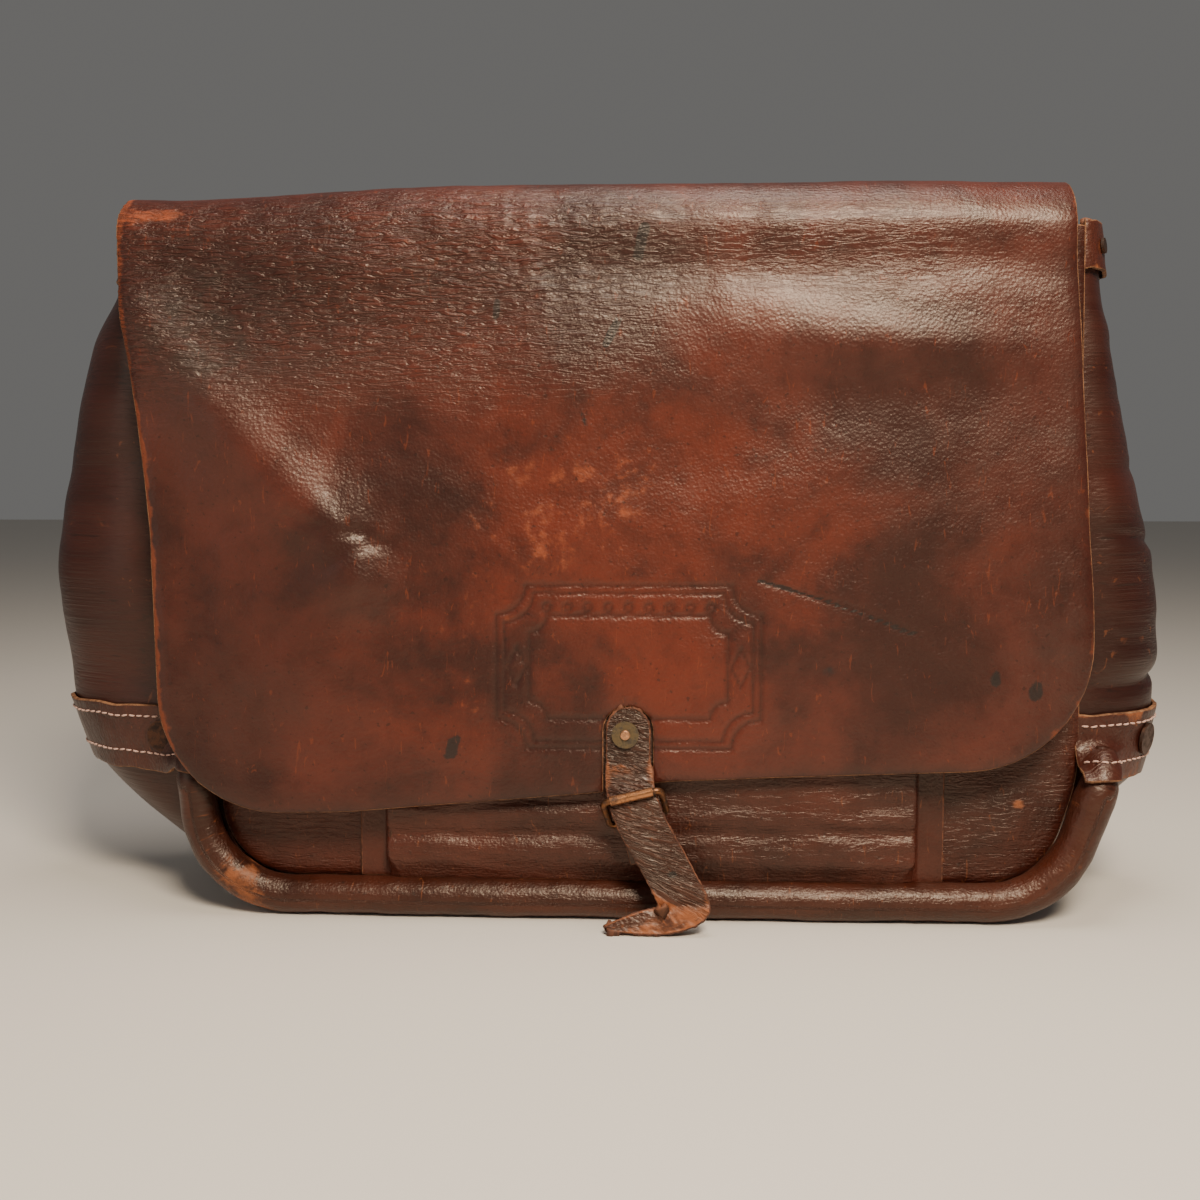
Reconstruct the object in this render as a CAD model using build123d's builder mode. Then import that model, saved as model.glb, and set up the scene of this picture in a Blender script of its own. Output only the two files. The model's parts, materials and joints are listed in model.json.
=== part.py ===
"""Leather letter-carrier's satchel with a full-width flap, a front pocket and a buckled closure strap.

Frame: +X to the wearer's right as seen from the front, front is -Y, +Z up, origin under the middle of the base.
Millimetres.
"""
from build123d import *
import math
import os

os.makedirs("parts", exist_ok=True)

# ---- Driving dimensions ----
FOLD_TOP = 385.0  # top of the flap over the mouth
BASE_HALF_DEPTH = 54.0  # to a panel's outer face, extended down to the table
LEAN = 1.4  # degrees that each panel leans in towards the mouth
PANEL_THICK = 4.0
FLAP_THICK = 4.0
GUSSET_THICK = 3.0
BAND_THICK = 2.5
FIT = 0.35  # gap between pieces that are sewn or lie on each other

PANEL_BOTTOM = 20.0
PANEL_TOP = 362.0
ROLL_R = 10.5
ROLL_WALL = 2.5
ROLL_Y = 60.0  # from the middle of the bag to a roll's centreline
ROLL_END_Z = 69.5
ROLL_FLAT = 0.3  # worn off the underside of each roll, which gives the bag its flat strips to stand on

POCKET_LEFT = -126.0
POCKET_RIGHT = 157.0
POCKET_DEPTH = 13.0  # panel face to the pocket's outer face
POCKET_TOP = 232.0
POCKET_THICK = 3.0
POCKET_FLANGE = 13.0

FLAP_OUT = 23.5  # front panel face to the flap's outer face
FLAP_LEFT = -264.0
FLAP_RIGHT = 236.0
FRONT_FOLD_R = 28.0  # outer radius of the fold over the mouth's front edge
REAR_FOLD_R = 20.0

SLOT_X = 4.5
SLOT_WIDTH = 26.5
SLOT_TOP = 116.0
STRAP_WIDTH = 24.0
STRAP_THICK = 3.2
RIVET_Z = 101.0

BUCKLE_TWIST = 14.0  # degrees that the buckle hangs askew
BUCKLE_TILT = 34.5  # degrees that its roller stands out from the bag
HEEL = Vector(10.1, -72.3, 56.7)  # middle of the heel bar
BUCKLE_LENGTH = 18.0  # heel bar to roller, centre to centre
BUCKLE_WIDTH = 30.5  # between the side bars' centrelines
WIRE_R = 1.8
ROLLER_R = 2.5

BAND_BOTTOM = 74.2
BAND_TOP = 109.0
TAB_BOTTOM = 341.0
TAB_TOP = 365.0

SIN_LEAN = math.sin(math.radians(LEAN))
COS_LEAN = math.cos(math.radians(LEAN))

# Side gussets: the panel edge (x, z) that each section starts from, and its outermost point (x, z).
RIGHT_SECTIONS = [
    ((190, 19.5), (192, 8)),
    ((214, 24), (224, 12)),
    ((231, 52), (247, 44)),
    ((239.5, 74), (287, 74)),
    ((239.5, 110), (294, 110)),
    ((239.2, 150), (293, 150)),
    ((238.7, 200), (285, 200)),
    ((238.3, 250), (274, 250)),
    ((238.0, 300), (263, 300)),
    ((237.6, 366), (251, 366)),
]
LEFT_SECTIONS = [
    ((-176, 19.5), (-178, 8)),
    ((-200, 23), (-222, 9)),
    ((-212, 36), (-262, 24)),
    ((-216, 52), (-292, 48)),
    ((-217.6, 74), (-311, 74)),
    ((-221, 110), (-317, 110)),
    ((-226.5, 166), (-319, 166)),
    ((-231.8, 220), (-313, 220)),
    ((-237, 275), (-303, 275)),
    ((-241.8, 325), (-287, 325)),
    ((-245.6, 366), (-268, 366)),
]


# ---- Planes and sections that several pieces share ----
def front_plane(out=0.0):
    """The front panel's face, moved outwards. Local x is +X, local y climbs the panel."""
    normal = Vector(0, -COS_LEAN, SIN_LEAN)
    return Plane(origin=Vector(0, -BASE_HALF_DEPTH, 0) + normal * out, x_dir=(1, 0, 0), z_dir=normal)


def back_plane(out=0.0):
    """The back panel's face, moved outwards. Local x is +X, local y climbs the panel, the normal points in."""
    normal = Vector(0, -COS_LEAN, -SIN_LEAN)
    return Plane(origin=Vector(0, BASE_HALF_DEPTH, 0) - normal * out, x_dir=(1, 0, 0), z_dir=normal)


def front_cut(height, out=0.0):
    """A plane across the front panel at a height along it. Local y points into the bag."""
    face = front_plane(out)
    up = Vector(0, SIN_LEAN, COS_LEAN)
    return Plane(origin=face.origin + up * height, x_dir=(1, 0, 0), z_dir=up)


def inner_half_depth(z):
    """Half the room between the two panels' inner faces at a height."""
    return BASE_HALF_DEPTH - PANEL_THICK - FIT - z * SIN_LEAN


def section_at(sections, z):
    """The gusset section at a height above the rounded corners, between the listed ones."""
    for (low_edge, low_apex), (high_edge, high_apex) in zip(sections, sections[1:]):
        if low_edge[1] <= z <= high_edge[1]:
            share = (z - low_edge[1]) / (high_edge[1] - low_edge[1])
            edge = low_edge[0] + share * (high_edge[0] - low_edge[0])
            apex = low_apex[0] + share * (high_apex[0] - low_apex[0])
            return (edge, z), (apex, z)


def bulge_section(edge, apex, skin, thick):
    """A section across a gusset: half an ellipse from panel to panel, its outer face skin beyond the gusset."""
    along = Vector(apex[0] - edge[0], 0, apex[1] - edge[1])
    bulge = along.length
    x_dir = along.normalized()
    plane = Plane(origin=(edge[0], 0, edge[1]), x_dir=x_dir, z_dir=x_dir.cross(Vector(0, 1, 0)))
    half = inner_half_depth(edge[1])
    outer = half + skin
    inner = outer - thick
    with BuildSketch(plane) as section:
        with BuildLine():
            EllipticalCenterArc((0, 0), bulge + skin, outer, start_angle=-90, arc_size=180)
            Line((0, outer), (0, inner))
            EllipticalCenterArc((0, 0), bulge + skin - thick, inner, start_angle=-90, arc_size=180)
            Line((0, -inner), (0, -outer))
        make_face()
    return section.sketch


def bulge_shell(sections, skin, thick):
    """A shell lofted straight from section to section."""
    with BuildPart() as shell:
        loft([bulge_section(edge, apex, skin, thick) for edge, apex in sections], ruled=True)
    return shell


# A panel's outline in its own plane: slightly skewed sides, and bottom corners that get rounded.
PANEL_OUTLINE = [
    (-211.4, PANEL_BOTTOM),
    (219.5, PANEL_BOTTOM),
    (239.0, 76.0),
    (237.0, PANEL_TOP),
    (-245.0, PANEL_TOP),
    (-217.0, 76.0),
]
PANEL_CORNER_R = 42.0
# Centreline of a roll across the bag and up: along the base and round both corners.
ROLL_Z = ROLL_R - ROLL_FLAT
ROLL_PATH = [(-227.6, ROLL_END_Z), (-221.5, ROLL_Z), (228.0, ROLL_Z), (248.3, ROLL_END_Z)]
ROLL_CORNER_R = 50.0


# ---- Body of the bag ----
with BuildPart() as front_panel:
    with BuildSketch(front_plane()) as sk:
        with BuildLine():
            Polyline(*PANEL_OUTLINE, close=True)
        make_face()
        fillet(sk.vertices().group_by(Axis.Y)[0], PANEL_CORNER_R)
    extrude(amount=-PANEL_THICK)

# The back panel runs on into the first half of the flap's rear fold.
REAR_FOLD_Z = FOLD_TOP - REAR_FOLD_R
REAR_FOLD_CLIMB = (REAR_FOLD_Z + REAR_FOLD_R * SIN_LEAN) / COS_LEAN
REAR_FOLD_Y = BASE_HALF_DEPTH - REAR_FOLD_CLIMB * SIN_LEAN - REAR_FOLD_R * COS_LEAN
FOLD_MID = FLAP_THICK / 2
SPLIT = 1.0  # degrees either side of the line where two bodies meet in a fold
with BuildPart() as back_panel:
    with BuildSketch(back_plane()) as sk:
        with BuildLine():
            Polyline(*PANEL_OUTLINE[:3], (237.0, REAR_FOLD_CLIMB), (-245.0, REAR_FOLD_CLIMB), PANEL_OUTLINE[5], close=True)
        make_face()
        fillet(sk.vertices().group_by(Axis.Y)[0], PANEL_CORNER_R)
    extrude(amount=PANEL_THICK)
    with BuildSketch(Plane.YZ.offset(-245)):
        with BuildLine():
            CenterArc((REAR_FOLD_Y, REAR_FOLD_Z), REAR_FOLD_R - FOLD_MID, LEAN, 45 - LEAN - SPLIT)
        trace(line_width=PANEL_THICK)
    extrude(amount=481)

gusset_right = bulge_shell(RIGHT_SECTIONS, 0, GUSSET_THICK)
gusset_left = bulge_shell(LEFT_SECTIONS, 0, GUSSET_THICK)

with BuildPart() as bottom_panel:
    half = inner_half_depth(19.5)
    with BuildSketch(Plane.YZ.offset(-175)):
        with BuildLine():
            ThreePointArc((-half, 19.5), (0, 8), (half, 19.5))
            Line((half, 19.5), (half - GUSSET_THICK, 19.5))
            ThreePointArc((half - GUSSET_THICK, 19.5), (0, 8 + GUSSET_THICK), (GUSSET_THICK - half, 19.5))
            Line((GUSSET_THICK - half, 19.5), (-half, 19.5))
        make_face()
    extrude(amount=364)


def roll_pieces(y):
    """The leather cover and the rope that fills it."""
    start = Plane(origin=(-227.6, y, ROLL_END_Z), x_dir=(0, 1, 0), z_dir=(6.1, 0, ROLL_Z - ROLL_END_Z))
    path_plane = Plane(origin=(0, y, 0), x_dir=(1, 0, 0), z_dir=(0, -1, 0))
    with BuildPart() as cover:
        with BuildLine(path_plane) as run:
            FilletPolyline(*ROLL_PATH, radius=ROLL_CORNER_R)
        with BuildSketch(start):
            Circle(ROLL_R)
            Circle(ROLL_R - ROLL_WALL, mode=Mode.SUBTRACT)
        sweep(path=run.line)
        split(bisect_by=Plane.XY, keep=Keep.TOP)
    with BuildPart() as core:
        with BuildLine(path_plane) as run:
            FilletPolyline(*ROLL_PATH, radius=ROLL_CORNER_R)
        with BuildSketch(start):
            Circle(ROLL_R - ROLL_WALL - FIT)
        sweep(path=run.line)
    return cover, core


front_roll, front_roll_core = roll_pieces(-ROLL_Y)
rear_roll, rear_roll_core = roll_pieces(ROLL_Y)

# Bands sewn round the gussets, and the caps at their tops.
BAND_HEIGHTS = (BAND_BOTTOM, BAND_TOP)
TAB_HEIGHTS = (TAB_BOTTOM, TAB_TOP)
BAND_SKIN = BAND_THICK + FIT
band_right = bulge_shell([section_at(RIGHT_SECTIONS, z) for z in BAND_HEIGHTS], BAND_SKIN, BAND_THICK)
band_left = bulge_shell([section_at(LEFT_SECTIONS, z) for z in BAND_HEIGHTS], BAND_SKIN, BAND_THICK)
top_tab_right = bulge_shell([section_at(RIGHT_SECTIONS, z) for z in TAB_HEIGHTS], BAND_SKIN, BAND_THICK)
top_tab_left = bulge_shell([section_at(LEFT_SECTIONS, z) for z in TAB_HEIGHTS], BAND_SKIN, BAND_THICK)


def bulge_point(sections, z, share):
    """A point on a band's or cap's outer face. share runs from -1 at the front panel to 1 at the back."""
    edge, apex = section_at(sections, z)
    side = math.copysign(1, apex[0])
    wide = abs(apex[0] - edge[0]) + BAND_SKIN
    deep = inner_half_depth(z) + BAND_SKIN
    angle = share * math.pi / 2
    return Vector(edge[0] + side * wide * math.cos(angle), deep * math.sin(angle), z)


def on_bulge(sections, z, share, out):
    """A plane that touches that face at the point, moved off it. Local x climbs."""
    climb = bulge_point(sections, z + 1, share) - bulge_point(sections, z - 1, share)
    around = bulge_point(sections, z, share + 0.01) - bulge_point(sections, z, share - 0.01)
    normal = around.cross(climb).normalized()
    if normal.X * bulge_point(sections, z, share).X < 0:
        normal = normal * -1
    return Plane(origin=bulge_point(sections, z, share) + normal * out, x_dir=climb, z_dir=normal)


# White thread: two rows of stitches on each band.
STITCH_LENGTH = 3.6
STITCH_THICK = 0.9
STITCH_SHARES = [-0.86 + 0.074 * i for i in range(12)]
with BuildPart() as band_stitching:
    for sections in (RIGHT_SECTIONS, LEFT_SECTIONS):
        for z in (BAND_BOTTOM + 9.5, BAND_TOP - 5.5):
            for share in STITCH_SHARES:
                with BuildSketch(on_bulge(sections, z, share, 0.15)):
                    Rectangle(STITCH_THICK, STITCH_LENGTH)
                extrude(amount=STITCH_THICK)

# Flat rivets: front and rear ends of both bands, and one each side of the caps.
RIVET_R = 8.5
RIVET_PLACES = [(RIGHT_SECTIONS, -0.42), (RIGHT_SECTIONS, 0.42), (LEFT_SECTIONS, -0.8), (LEFT_SECTIONS, 0.8)]
with BuildPart() as band_rivets:
    for sections, share in RIVET_PLACES:
        with BuildSketch(on_bulge(sections, BAND_BOTTOM + 19.4, share, 0.4)):
            Circle(RIVET_R)
        extrude(amount=1.6)

with BuildPart() as tab_rivets:
    for sections in (RIGHT_SECTIONS, LEFT_SECTIONS):
        for share in (-0.6, 0.6):
            with BuildSketch(on_bulge(sections, (TAB_BOTTOM + TAB_TOP) / 2, share, 0.5)):
                Circle(4.0)
            extrude(amount=1.4)

# Front pocket: front sheet, folded sides, sewn flanges, and a floor that closes it at the roll.
with BuildPart() as front_pocket:
    with BuildSketch(front_cut(PANEL_BOTTOM + 1, FIT)):
        with BuildLine():
            FilletPolyline(
                (POCKET_LEFT - POCKET_FLANGE, -POCKET_THICK / 2),
                (POCKET_LEFT, -POCKET_THICK / 2),
                (POCKET_LEFT, POCKET_THICK / 2 - POCKET_DEPTH),
                (POCKET_RIGHT, POCKET_THICK / 2 - POCKET_DEPTH),
                (POCKET_RIGHT, -POCKET_THICK / 2),
                (POCKET_RIGHT + POCKET_FLANGE, -POCKET_THICK / 2),
                radius=3.5,
            )
        trace(line_width=POCKET_THICK)
    extrude(amount=POCKET_TOP - PANEL_BOTTOM)
    with BuildSketch(front_cut(PANEL_BOTTOM + 1, FIT)):
        with Locations(((POCKET_LEFT + POCKET_RIGHT) / 2, -POCKET_DEPTH / 2)):
            Rectangle(POCKET_RIGHT - POCKET_LEFT, POCKET_DEPTH - POCKET_THICK / 2)
    extrude(amount=3)

# ---- Flap ----
FRONT_FOLD_Z = FOLD_TOP - FRONT_FOLD_R
FRONT_FOLD_CLIMB = (FRONT_FOLD_Z + (FRONT_FOLD_R - FLAP_OUT) * SIN_LEAN) / COS_LEAN
FRONT_FOLD_Y = FRONT_FOLD_CLIMB * SIN_LEAN - BASE_HALF_DEPTH + (FRONT_FOLD_R - FLAP_OUT) * COS_LEAN

with BuildPart() as flap_top:
    with BuildSketch(Plane.YZ.offset(FLAP_LEFT)):
        with BuildLine():
            CenterArc((REAR_FOLD_Y, REAR_FOLD_Z), REAR_FOLD_R - FOLD_MID, 45 + SPLIT, 45 - SPLIT)
            Line((REAR_FOLD_Y, FOLD_TOP - FOLD_MID), (FRONT_FOLD_Y, FOLD_TOP - FOLD_MID))
            CenterArc((FRONT_FOLD_Y, FRONT_FOLD_Z), FRONT_FOLD_R - FOLD_MID, 90, 45 - SPLIT)
        trace(line_width=FLAP_THICK)
    extrude(amount=FLAP_RIGHT - FLAP_LEFT)

with BuildPart() as flap_front:
    turn = 45 - LEAN - SPLIT
    with BuildSketch(Plane.YZ.offset(FLAP_LEFT - 1)):
        with BuildLine():
            fold = CenterArc((FRONT_FOLD_Y, FRONT_FOLD_Z), FRONT_FOLD_R - FOLD_MID, 135 + SPLIT, turn)
            Line(fold @ 1, (fold @ 1) + Vector(-SIN_LEAN, -COS_LEAN) * 330)
        trace(line_width=FLAP_THICK)
    extrude(amount=520)
    with BuildSketch(front_plane(-20)) as sk:
        with BuildLine():
            Polyline(
                (FLAP_LEFT, 400),
                (FLAP_LEFT, 372),
                (-251, 205),
                (-238, 55),
                (-144, 56),
                (-8, 67),
                (18, 71.5),
                (176, 78),
                (245, 92),
                (242, 240),
                (FLAP_RIGHT, 372),
                (FLAP_RIGHT, 400),
                close=True,
            )
        make_face()
        fillet(sk.vertices().filter_by(lambda v: abs(v.X + 238) < 1), 46)
        fillet(sk.vertices().filter_by(lambda v: abs(v.X - 245) < 1), 44)
    extrude(amount=100, mode=Mode.INTERSECT)
    with BuildSketch(front_plane(FLAP_OUT + 5)):
        with Locations((SLOT_X, SLOT_TOP - SLOT_WIDTH / 2)):
            Circle(SLOT_WIDTH / 2)
        with Locations((SLOT_X, (SLOT_TOP - SLOT_WIDTH / 2 + 40) / 2)):
            Rectangle(SLOT_WIDTH, SLOT_TOP - SLOT_WIDTH / 2 - 40)
    extrude(amount=-15, mode=Mode.SUBTRACT)

PATCH_OUT = FLAP_OUT - FLAP_THICK - FIT  # outer face of the patch
PATCH_THICK = 2.4
with BuildPart() as flap_patch:
    with BuildSketch(front_plane(PATCH_OUT)):
        with Locations((SLOT_X, 108)):
            RectangleRounded(58, 62, 8)
    extrude(amount=-PATCH_THICK)

def strap_sections(stations):
    """Rectangles across the strap at its stations, each square to the line between its neighbours."""
    sections = []
    for i, (middle, slope) in enumerate(stations):
        before = stations[max(i - 1, 0)][0]
        after = stations[min(i + 1, len(stations) - 1)][0]
        across = Vector(math.cos(math.radians(slope)), 0, math.sin(math.radians(slope)))
        with BuildSketch(Plane(origin=middle, x_dir=across, z_dir=after - before)) as section:
            Rectangle(STRAP_WIDTH, STRAP_THICK)
        sections.append(section.sketch)
    return sections


# ---- Closure strap: rivet end in the slot, behind the roller, over the heel bar, tail on the table ----
STRAP_OUT = PATCH_OUT + 0.3 + STRAP_THICK
strap_face = front_plane(STRAP_OUT)
with BuildPart() as closure_strap:
    with BuildSketch(strap_face):
        with Locations((SLOT_X, SLOT_TOP - 1 - STRAP_WIDTH / 2)):
            Circle(STRAP_WIDTH / 2)
        with Locations((SLOT_X, (SLOT_TOP - 1 - STRAP_WIDTH / 2 + 88) / 2)):
            Rectangle(STRAP_WIDTH, SLOT_TOP - 1 - STRAP_WIDTH / 2 - 88)
    extrude(amount=-STRAP_THICK)
    slot_foot = front_plane(STRAP_OUT - STRAP_THICK / 2).from_local_coords(Vector(SLOT_X, 88.5, 0))
    # Middle of the strap and the slope of its width, in degrees, down to the fold by the table.
    stations = [
        (slot_foot, 0),
        (Vector(6.2, -78.1, 71.5), 14),
        (Vector(11.6, -81.8, 57.0), 19),
        (Vector(22.0, -82.4, 38.0), 28),
        (Vector(33.5, -85.0, 17.0), 27),
    ]
    loft(strap_sections(stations), ruled=True)
    # The tail, folded back to the left and leaning on the roll.
    tail_plane = Plane(origin=(33.5, -85.0, 17.0), x_dir=(1, 0, 0), z_dir=(0, -1, 0.25))
    with BuildSketch(tail_plane):
        with BuildLine():
            Polyline((-11, -4.5), (12, 4), (10, -8), (-12, -15.4), (-34, -15.8), (-42, -12.5), (-26, -10), close=True)
        make_face()
    extrude(amount=STRAP_THICK / 2, both=True)

with BuildPart() as strap_washer:
    with BuildSketch(front_plane(STRAP_OUT + 0.1)):
        with Locations((SLOT_X - 1.5, RIVET_Z)):
            Circle(7.0)
            Circle(2.0, mode=Mode.SUBTRACT)
    extrude(amount=1.2)

with BuildPart() as strap_rivet:
    with BuildSketch(front_plane(STRAP_OUT + 1.4)):
        with Locations((SLOT_X - 1.5, RIVET_Z)):
            Circle(2.6)
    extrude(amount=1.3)
    fillet(strap_rivet.faces().sort_by(Axis.Y)[0].edges(), 0.8)


# ---- Buckle ----
TWIST = math.radians(BUCKLE_TWIST)
TILT = math.radians(BUCKLE_TILT)
ACROSS = Vector(math.cos(TWIST), 0, math.sin(TWIST))
RISE = Vector(-math.sin(TWIST), 0, math.cos(TWIST))
ALONG = RISE * math.cos(TILT) + Vector(0, -1, 0) * math.sin(TILT)
ROLLER = HEEL + ALONG * BUCKLE_LENGTH


def buckle_plane():
    """Plane of the buckle's wire: origin on the heel bar, local x along the bar, local y towards the roller."""
    return Plane(origin=HEEL, x_dir=ACROSS, z_dir=ACROSS.cross(ALONG))


def bar_plane(centre, offset):
    """Plane across the heel bar's direction, offset along it."""
    return Plane(origin=centre + ACROSS * offset, x_dir=ALONG, z_dir=ACROSS)


with BuildPart() as buckle_frame:
    corner = 3.0
    with BuildLine(buckle_plane()) as wire:
        half = BUCKLE_WIDTH / 2
        FilletPolyline((0, 0), (half, 0), (half, BUCKLE_LENGTH), (0, BUCKLE_LENGTH), radius=corner)
        FilletPolyline((0, BUCKLE_LENGTH), (-half, BUCKLE_LENGTH), (-half, 0), (0, 0), radius=corner)
    with BuildSketch(Plane(origin=HEEL, x_dir=ALONG, z_dir=ACROSS)):
        Circle(WIRE_R)
    sweep(path=wire.line)

ROLLER_LENGTH = 22.4
with BuildPart() as buckle_roller:
    with BuildSketch(bar_plane(ROLLER, -ROLLER_LENGTH / 2)):
        Circle(ROLLER_R)
        Circle(WIRE_R + 0.08, mode=Mode.SUBTRACT)
    extrude(amount=ROLLER_LENGTH)

TONGUE_R = 1.1
TONGUE_EYE = WIRE_R + 0.08
TONGUE_BACK = 25.0  # degrees that the tongue lies behind the frame, under the strap
back_turn = math.radians(TONGUE_BACK)
TONGUE_DIR = ALONG * math.cos(back_turn) - ACROSS.cross(ALONG) * math.sin(back_turn)
with BuildPart() as buckle_tongue:
    with BuildSketch(bar_plane(HEEL, -1.4)):
        Circle(TONGUE_EYE + 1.5)
        Circle(TONGUE_EYE, mode=Mode.SUBTRACT)
    extrude(amount=2.8)
    with BuildSketch(Plane(origin=HEEL + TONGUE_DIR * (TONGUE_EYE + 0.7), x_dir=ACROSS, z_dir=TONGUE_DIR)):
        Circle(TONGUE_R)
    extrude(amount=10.5)

# Leather chape: looped round the heel bar either side of the tongue, its doubled legs on the pocket.
CHAPE_THICK = 1.8
CHAPE_WIDTH = 21.0
CHAPE_LENGTH = 27.0
LEG_OUT = POCKET_DEPTH + FIT + 0.3
with BuildPart() as buckle_chape:
    loop_r = WIRE_R + 0.3
    drop = Vector(ACROSS.Z, 0, -ACROSS.X)
    with BuildSketch(bar_plane(HEEL, -CHAPE_WIDTH / 2)):
        Circle(loop_r + CHAPE_THICK)
    extrude(amount=CHAPE_WIDTH)
    leg_plane = front_plane(LEG_OUT)
    heel_local = leg_plane.to_local_coords(HEEL)
    with BuildSketch(Plane(origin=leg_plane.origin, x_dir=leg_plane.x_dir, z_dir=leg_plane.z_dir)):
        with Locations(Location((heel_local.X + 3.4, heel_local.Y - CHAPE_LENGTH / 2, 0), (0, 0, BUCKLE_TWIST))):
            Rectangle(CHAPE_WIDTH, CHAPE_LENGTH)
    extrude(amount=heel_local.Z)
    with BuildSketch(bar_plane(HEEL, -CHAPE_WIDTH)):
        Circle(loop_r)
    extrude(amount=CHAPE_WIDTH * 2, mode=Mode.SUBTRACT)
    with BuildSketch(bar_plane(HEEL, -2.2)):
        Circle(loop_r + CHAPE_THICK + 2.5)
    extrude(amount=4.4, mode=Mode.SUBTRACT)

PIECES = {
    "front_panel": front_panel,
    "back_panel": back_panel,
    "gusset_left": gusset_left,
    "gusset_right": gusset_right,
    "bottom_panel": bottom_panel,
    "front_roll": front_roll,
    "front_roll_core": front_roll_core,
    "rear_roll": rear_roll,
    "rear_roll_core": rear_roll_core,
    "band_left": band_left,
    "band_right": band_right,
    "band_stitching": band_stitching,
    "band_rivets": band_rivets,
    "top_tab_left": top_tab_left,
    "top_tab_right": top_tab_right,
    "tab_rivets": tab_rivets,
    "front_pocket": front_pocket,
    "buckle_chape": buckle_chape,
    "buckle_frame": buckle_frame,
    "buckle_roller": buckle_roller,
    "buckle_tongue": buckle_tongue,
    "flap_top": flap_top,
    "flap_front": flap_front,
    "flap_patch": flap_patch,
    "closure_strap": closure_strap,
    "strap_washer": strap_washer,
    "strap_rivet": strap_rivet,
}
# The pieces are laid out about the middle of the rolls. The origin is under the middle of the whole bag.
TO_ORIGIN = Location((11.58, 9.94, 0))
for label, piece in PIECES.items():
    piece.part.move(TO_ORIGIN)
    piece.part.label = label
    export_step(piece.part, f"parts/{label}.step")

whole = Compound(children=[piece.part for piece in PIECES.values()]).bounding_box()
print("whole bag", whole.min, whole.max)
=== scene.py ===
"""Letter carrier's satchel in worn leather: the Blender model round the CAD frame.

Lengths are millimetres in part.py's layout frame, whose origin is between the middles of the rolls.
place() turns them into the frame's metres.
"""
import json
import math
from itertools import product

import bpy
import numpy as np
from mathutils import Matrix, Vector


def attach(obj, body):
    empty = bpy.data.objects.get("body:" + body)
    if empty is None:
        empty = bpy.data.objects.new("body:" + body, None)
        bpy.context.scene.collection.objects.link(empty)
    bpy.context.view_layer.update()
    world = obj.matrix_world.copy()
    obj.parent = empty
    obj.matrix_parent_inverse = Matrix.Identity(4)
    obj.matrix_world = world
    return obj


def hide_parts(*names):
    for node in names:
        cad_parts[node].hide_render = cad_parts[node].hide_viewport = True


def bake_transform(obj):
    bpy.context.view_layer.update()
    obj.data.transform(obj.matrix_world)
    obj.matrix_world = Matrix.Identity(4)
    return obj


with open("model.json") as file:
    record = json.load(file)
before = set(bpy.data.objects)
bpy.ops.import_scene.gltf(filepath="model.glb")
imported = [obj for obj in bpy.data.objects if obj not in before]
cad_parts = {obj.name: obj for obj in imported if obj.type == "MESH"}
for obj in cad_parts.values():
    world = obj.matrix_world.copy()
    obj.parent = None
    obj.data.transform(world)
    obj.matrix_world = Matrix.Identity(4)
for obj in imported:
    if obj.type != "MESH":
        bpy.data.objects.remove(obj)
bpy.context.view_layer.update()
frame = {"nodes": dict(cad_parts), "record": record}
record = frame["record"]

# The base mount is under the front roll, 60 mm in front of the layout's origin.
ROLL_Y = 60.0
base_mount = np.array(record["mounts"][0]["pos_m"])
SHIFT = base_mount + np.array([0.0, ROLL_Y / 1000, 0.0])


def place(points):
    """Layout millimetres to frame metres."""
    return np.asarray(points, float) / 1000 + SHIFT


# ---- Camera: the photographer stands a little to the right and looks slightly down ----
CAMERA_AT = (20.0, -735.0, 235.0)
CAMERA_TURN = 2.6
CAMERA_DOWN = 5.5
FOCAL = 39.0


def link(name, data):
    obj = bpy.data.objects.new(name, data)
    bpy.context.scene.collection.objects.link(obj)
    return obj


def make_camera():
    data = bpy.data.cameras.new("camera")
    data.sensor_width = 36.0
    data.lens = FOCAL
    data.clip_start = 0.01
    camera = link("camera", data)
    camera.location = place(CAMERA_AT)
    camera.rotation_euler = (math.radians(90 - CAMERA_DOWN), 0, math.radians(CAMERA_TURN))
    bpy.context.scene.camera = camera


make_camera()

# ---- Noise ----
_tables = {}


def noise(points, seed=0):
    """Smooth gradient noise of about -1 to 1 at N x 3 points."""
    if seed not in _tables:
        draw = np.random.RandomState(seed)
        slopes = draw.normal(size=(256, 3))
        _tables[seed] = draw.permutation(256), slopes / np.linalg.norm(slopes, axis=1)[:, None]
    order, slopes = _tables[seed]
    cell = np.floor(points).astype(int)
    inside = points - cell
    ease = inside**3 * (inside * (inside * 6 - 15) + 10)
    total = np.zeros(len(points))
    for corner in product((0, 1), repeat=3):
        step = np.array(corner)
        x, y, z = ((cell + step) & 255).T
        pick = order[(order[(order[x] + y) & 255] + z) & 255]
        weight = np.prod(np.where(step == 1, ease, 1 - ease), axis=1)
        total += weight * (slopes[pick] * (inside - step)).sum(axis=1)
    return total * 1.7


def fractal(points, octaves=3, seed=0, fall=0.5):
    total = np.zeros(len(points))
    size = 1.0
    for k in range(octaves):
        total += size * noise(points * 2.0**k, seed + k)
        size *= fall
    return total


def smooth(x, low, high):
    t = np.clip((x - low) / (high - low), 0, 1)
    return t * t * (3 - 2 * t)


def bump_at(x, z, cx, cz, rx, rz, turn=0.0):
    """A soft hill of height 1 at (cx, cz), turned by degrees."""
    a = math.radians(turn)
    u = ((x - cx) * math.cos(a) + (z - cz) * math.sin(a)) / rx
    v = ((z - cz) * math.cos(a) - (x - cx) * math.sin(a)) / rz
    return np.exp(-(u * u + v * v))


def hills(x, z, listed):
    """A sum of soft hills, each listed as height, centre x and z, reach x and z and, if turned, degrees."""
    return sum(height * bump_at(x, z, *hill) for height, *hill in listed)


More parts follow.
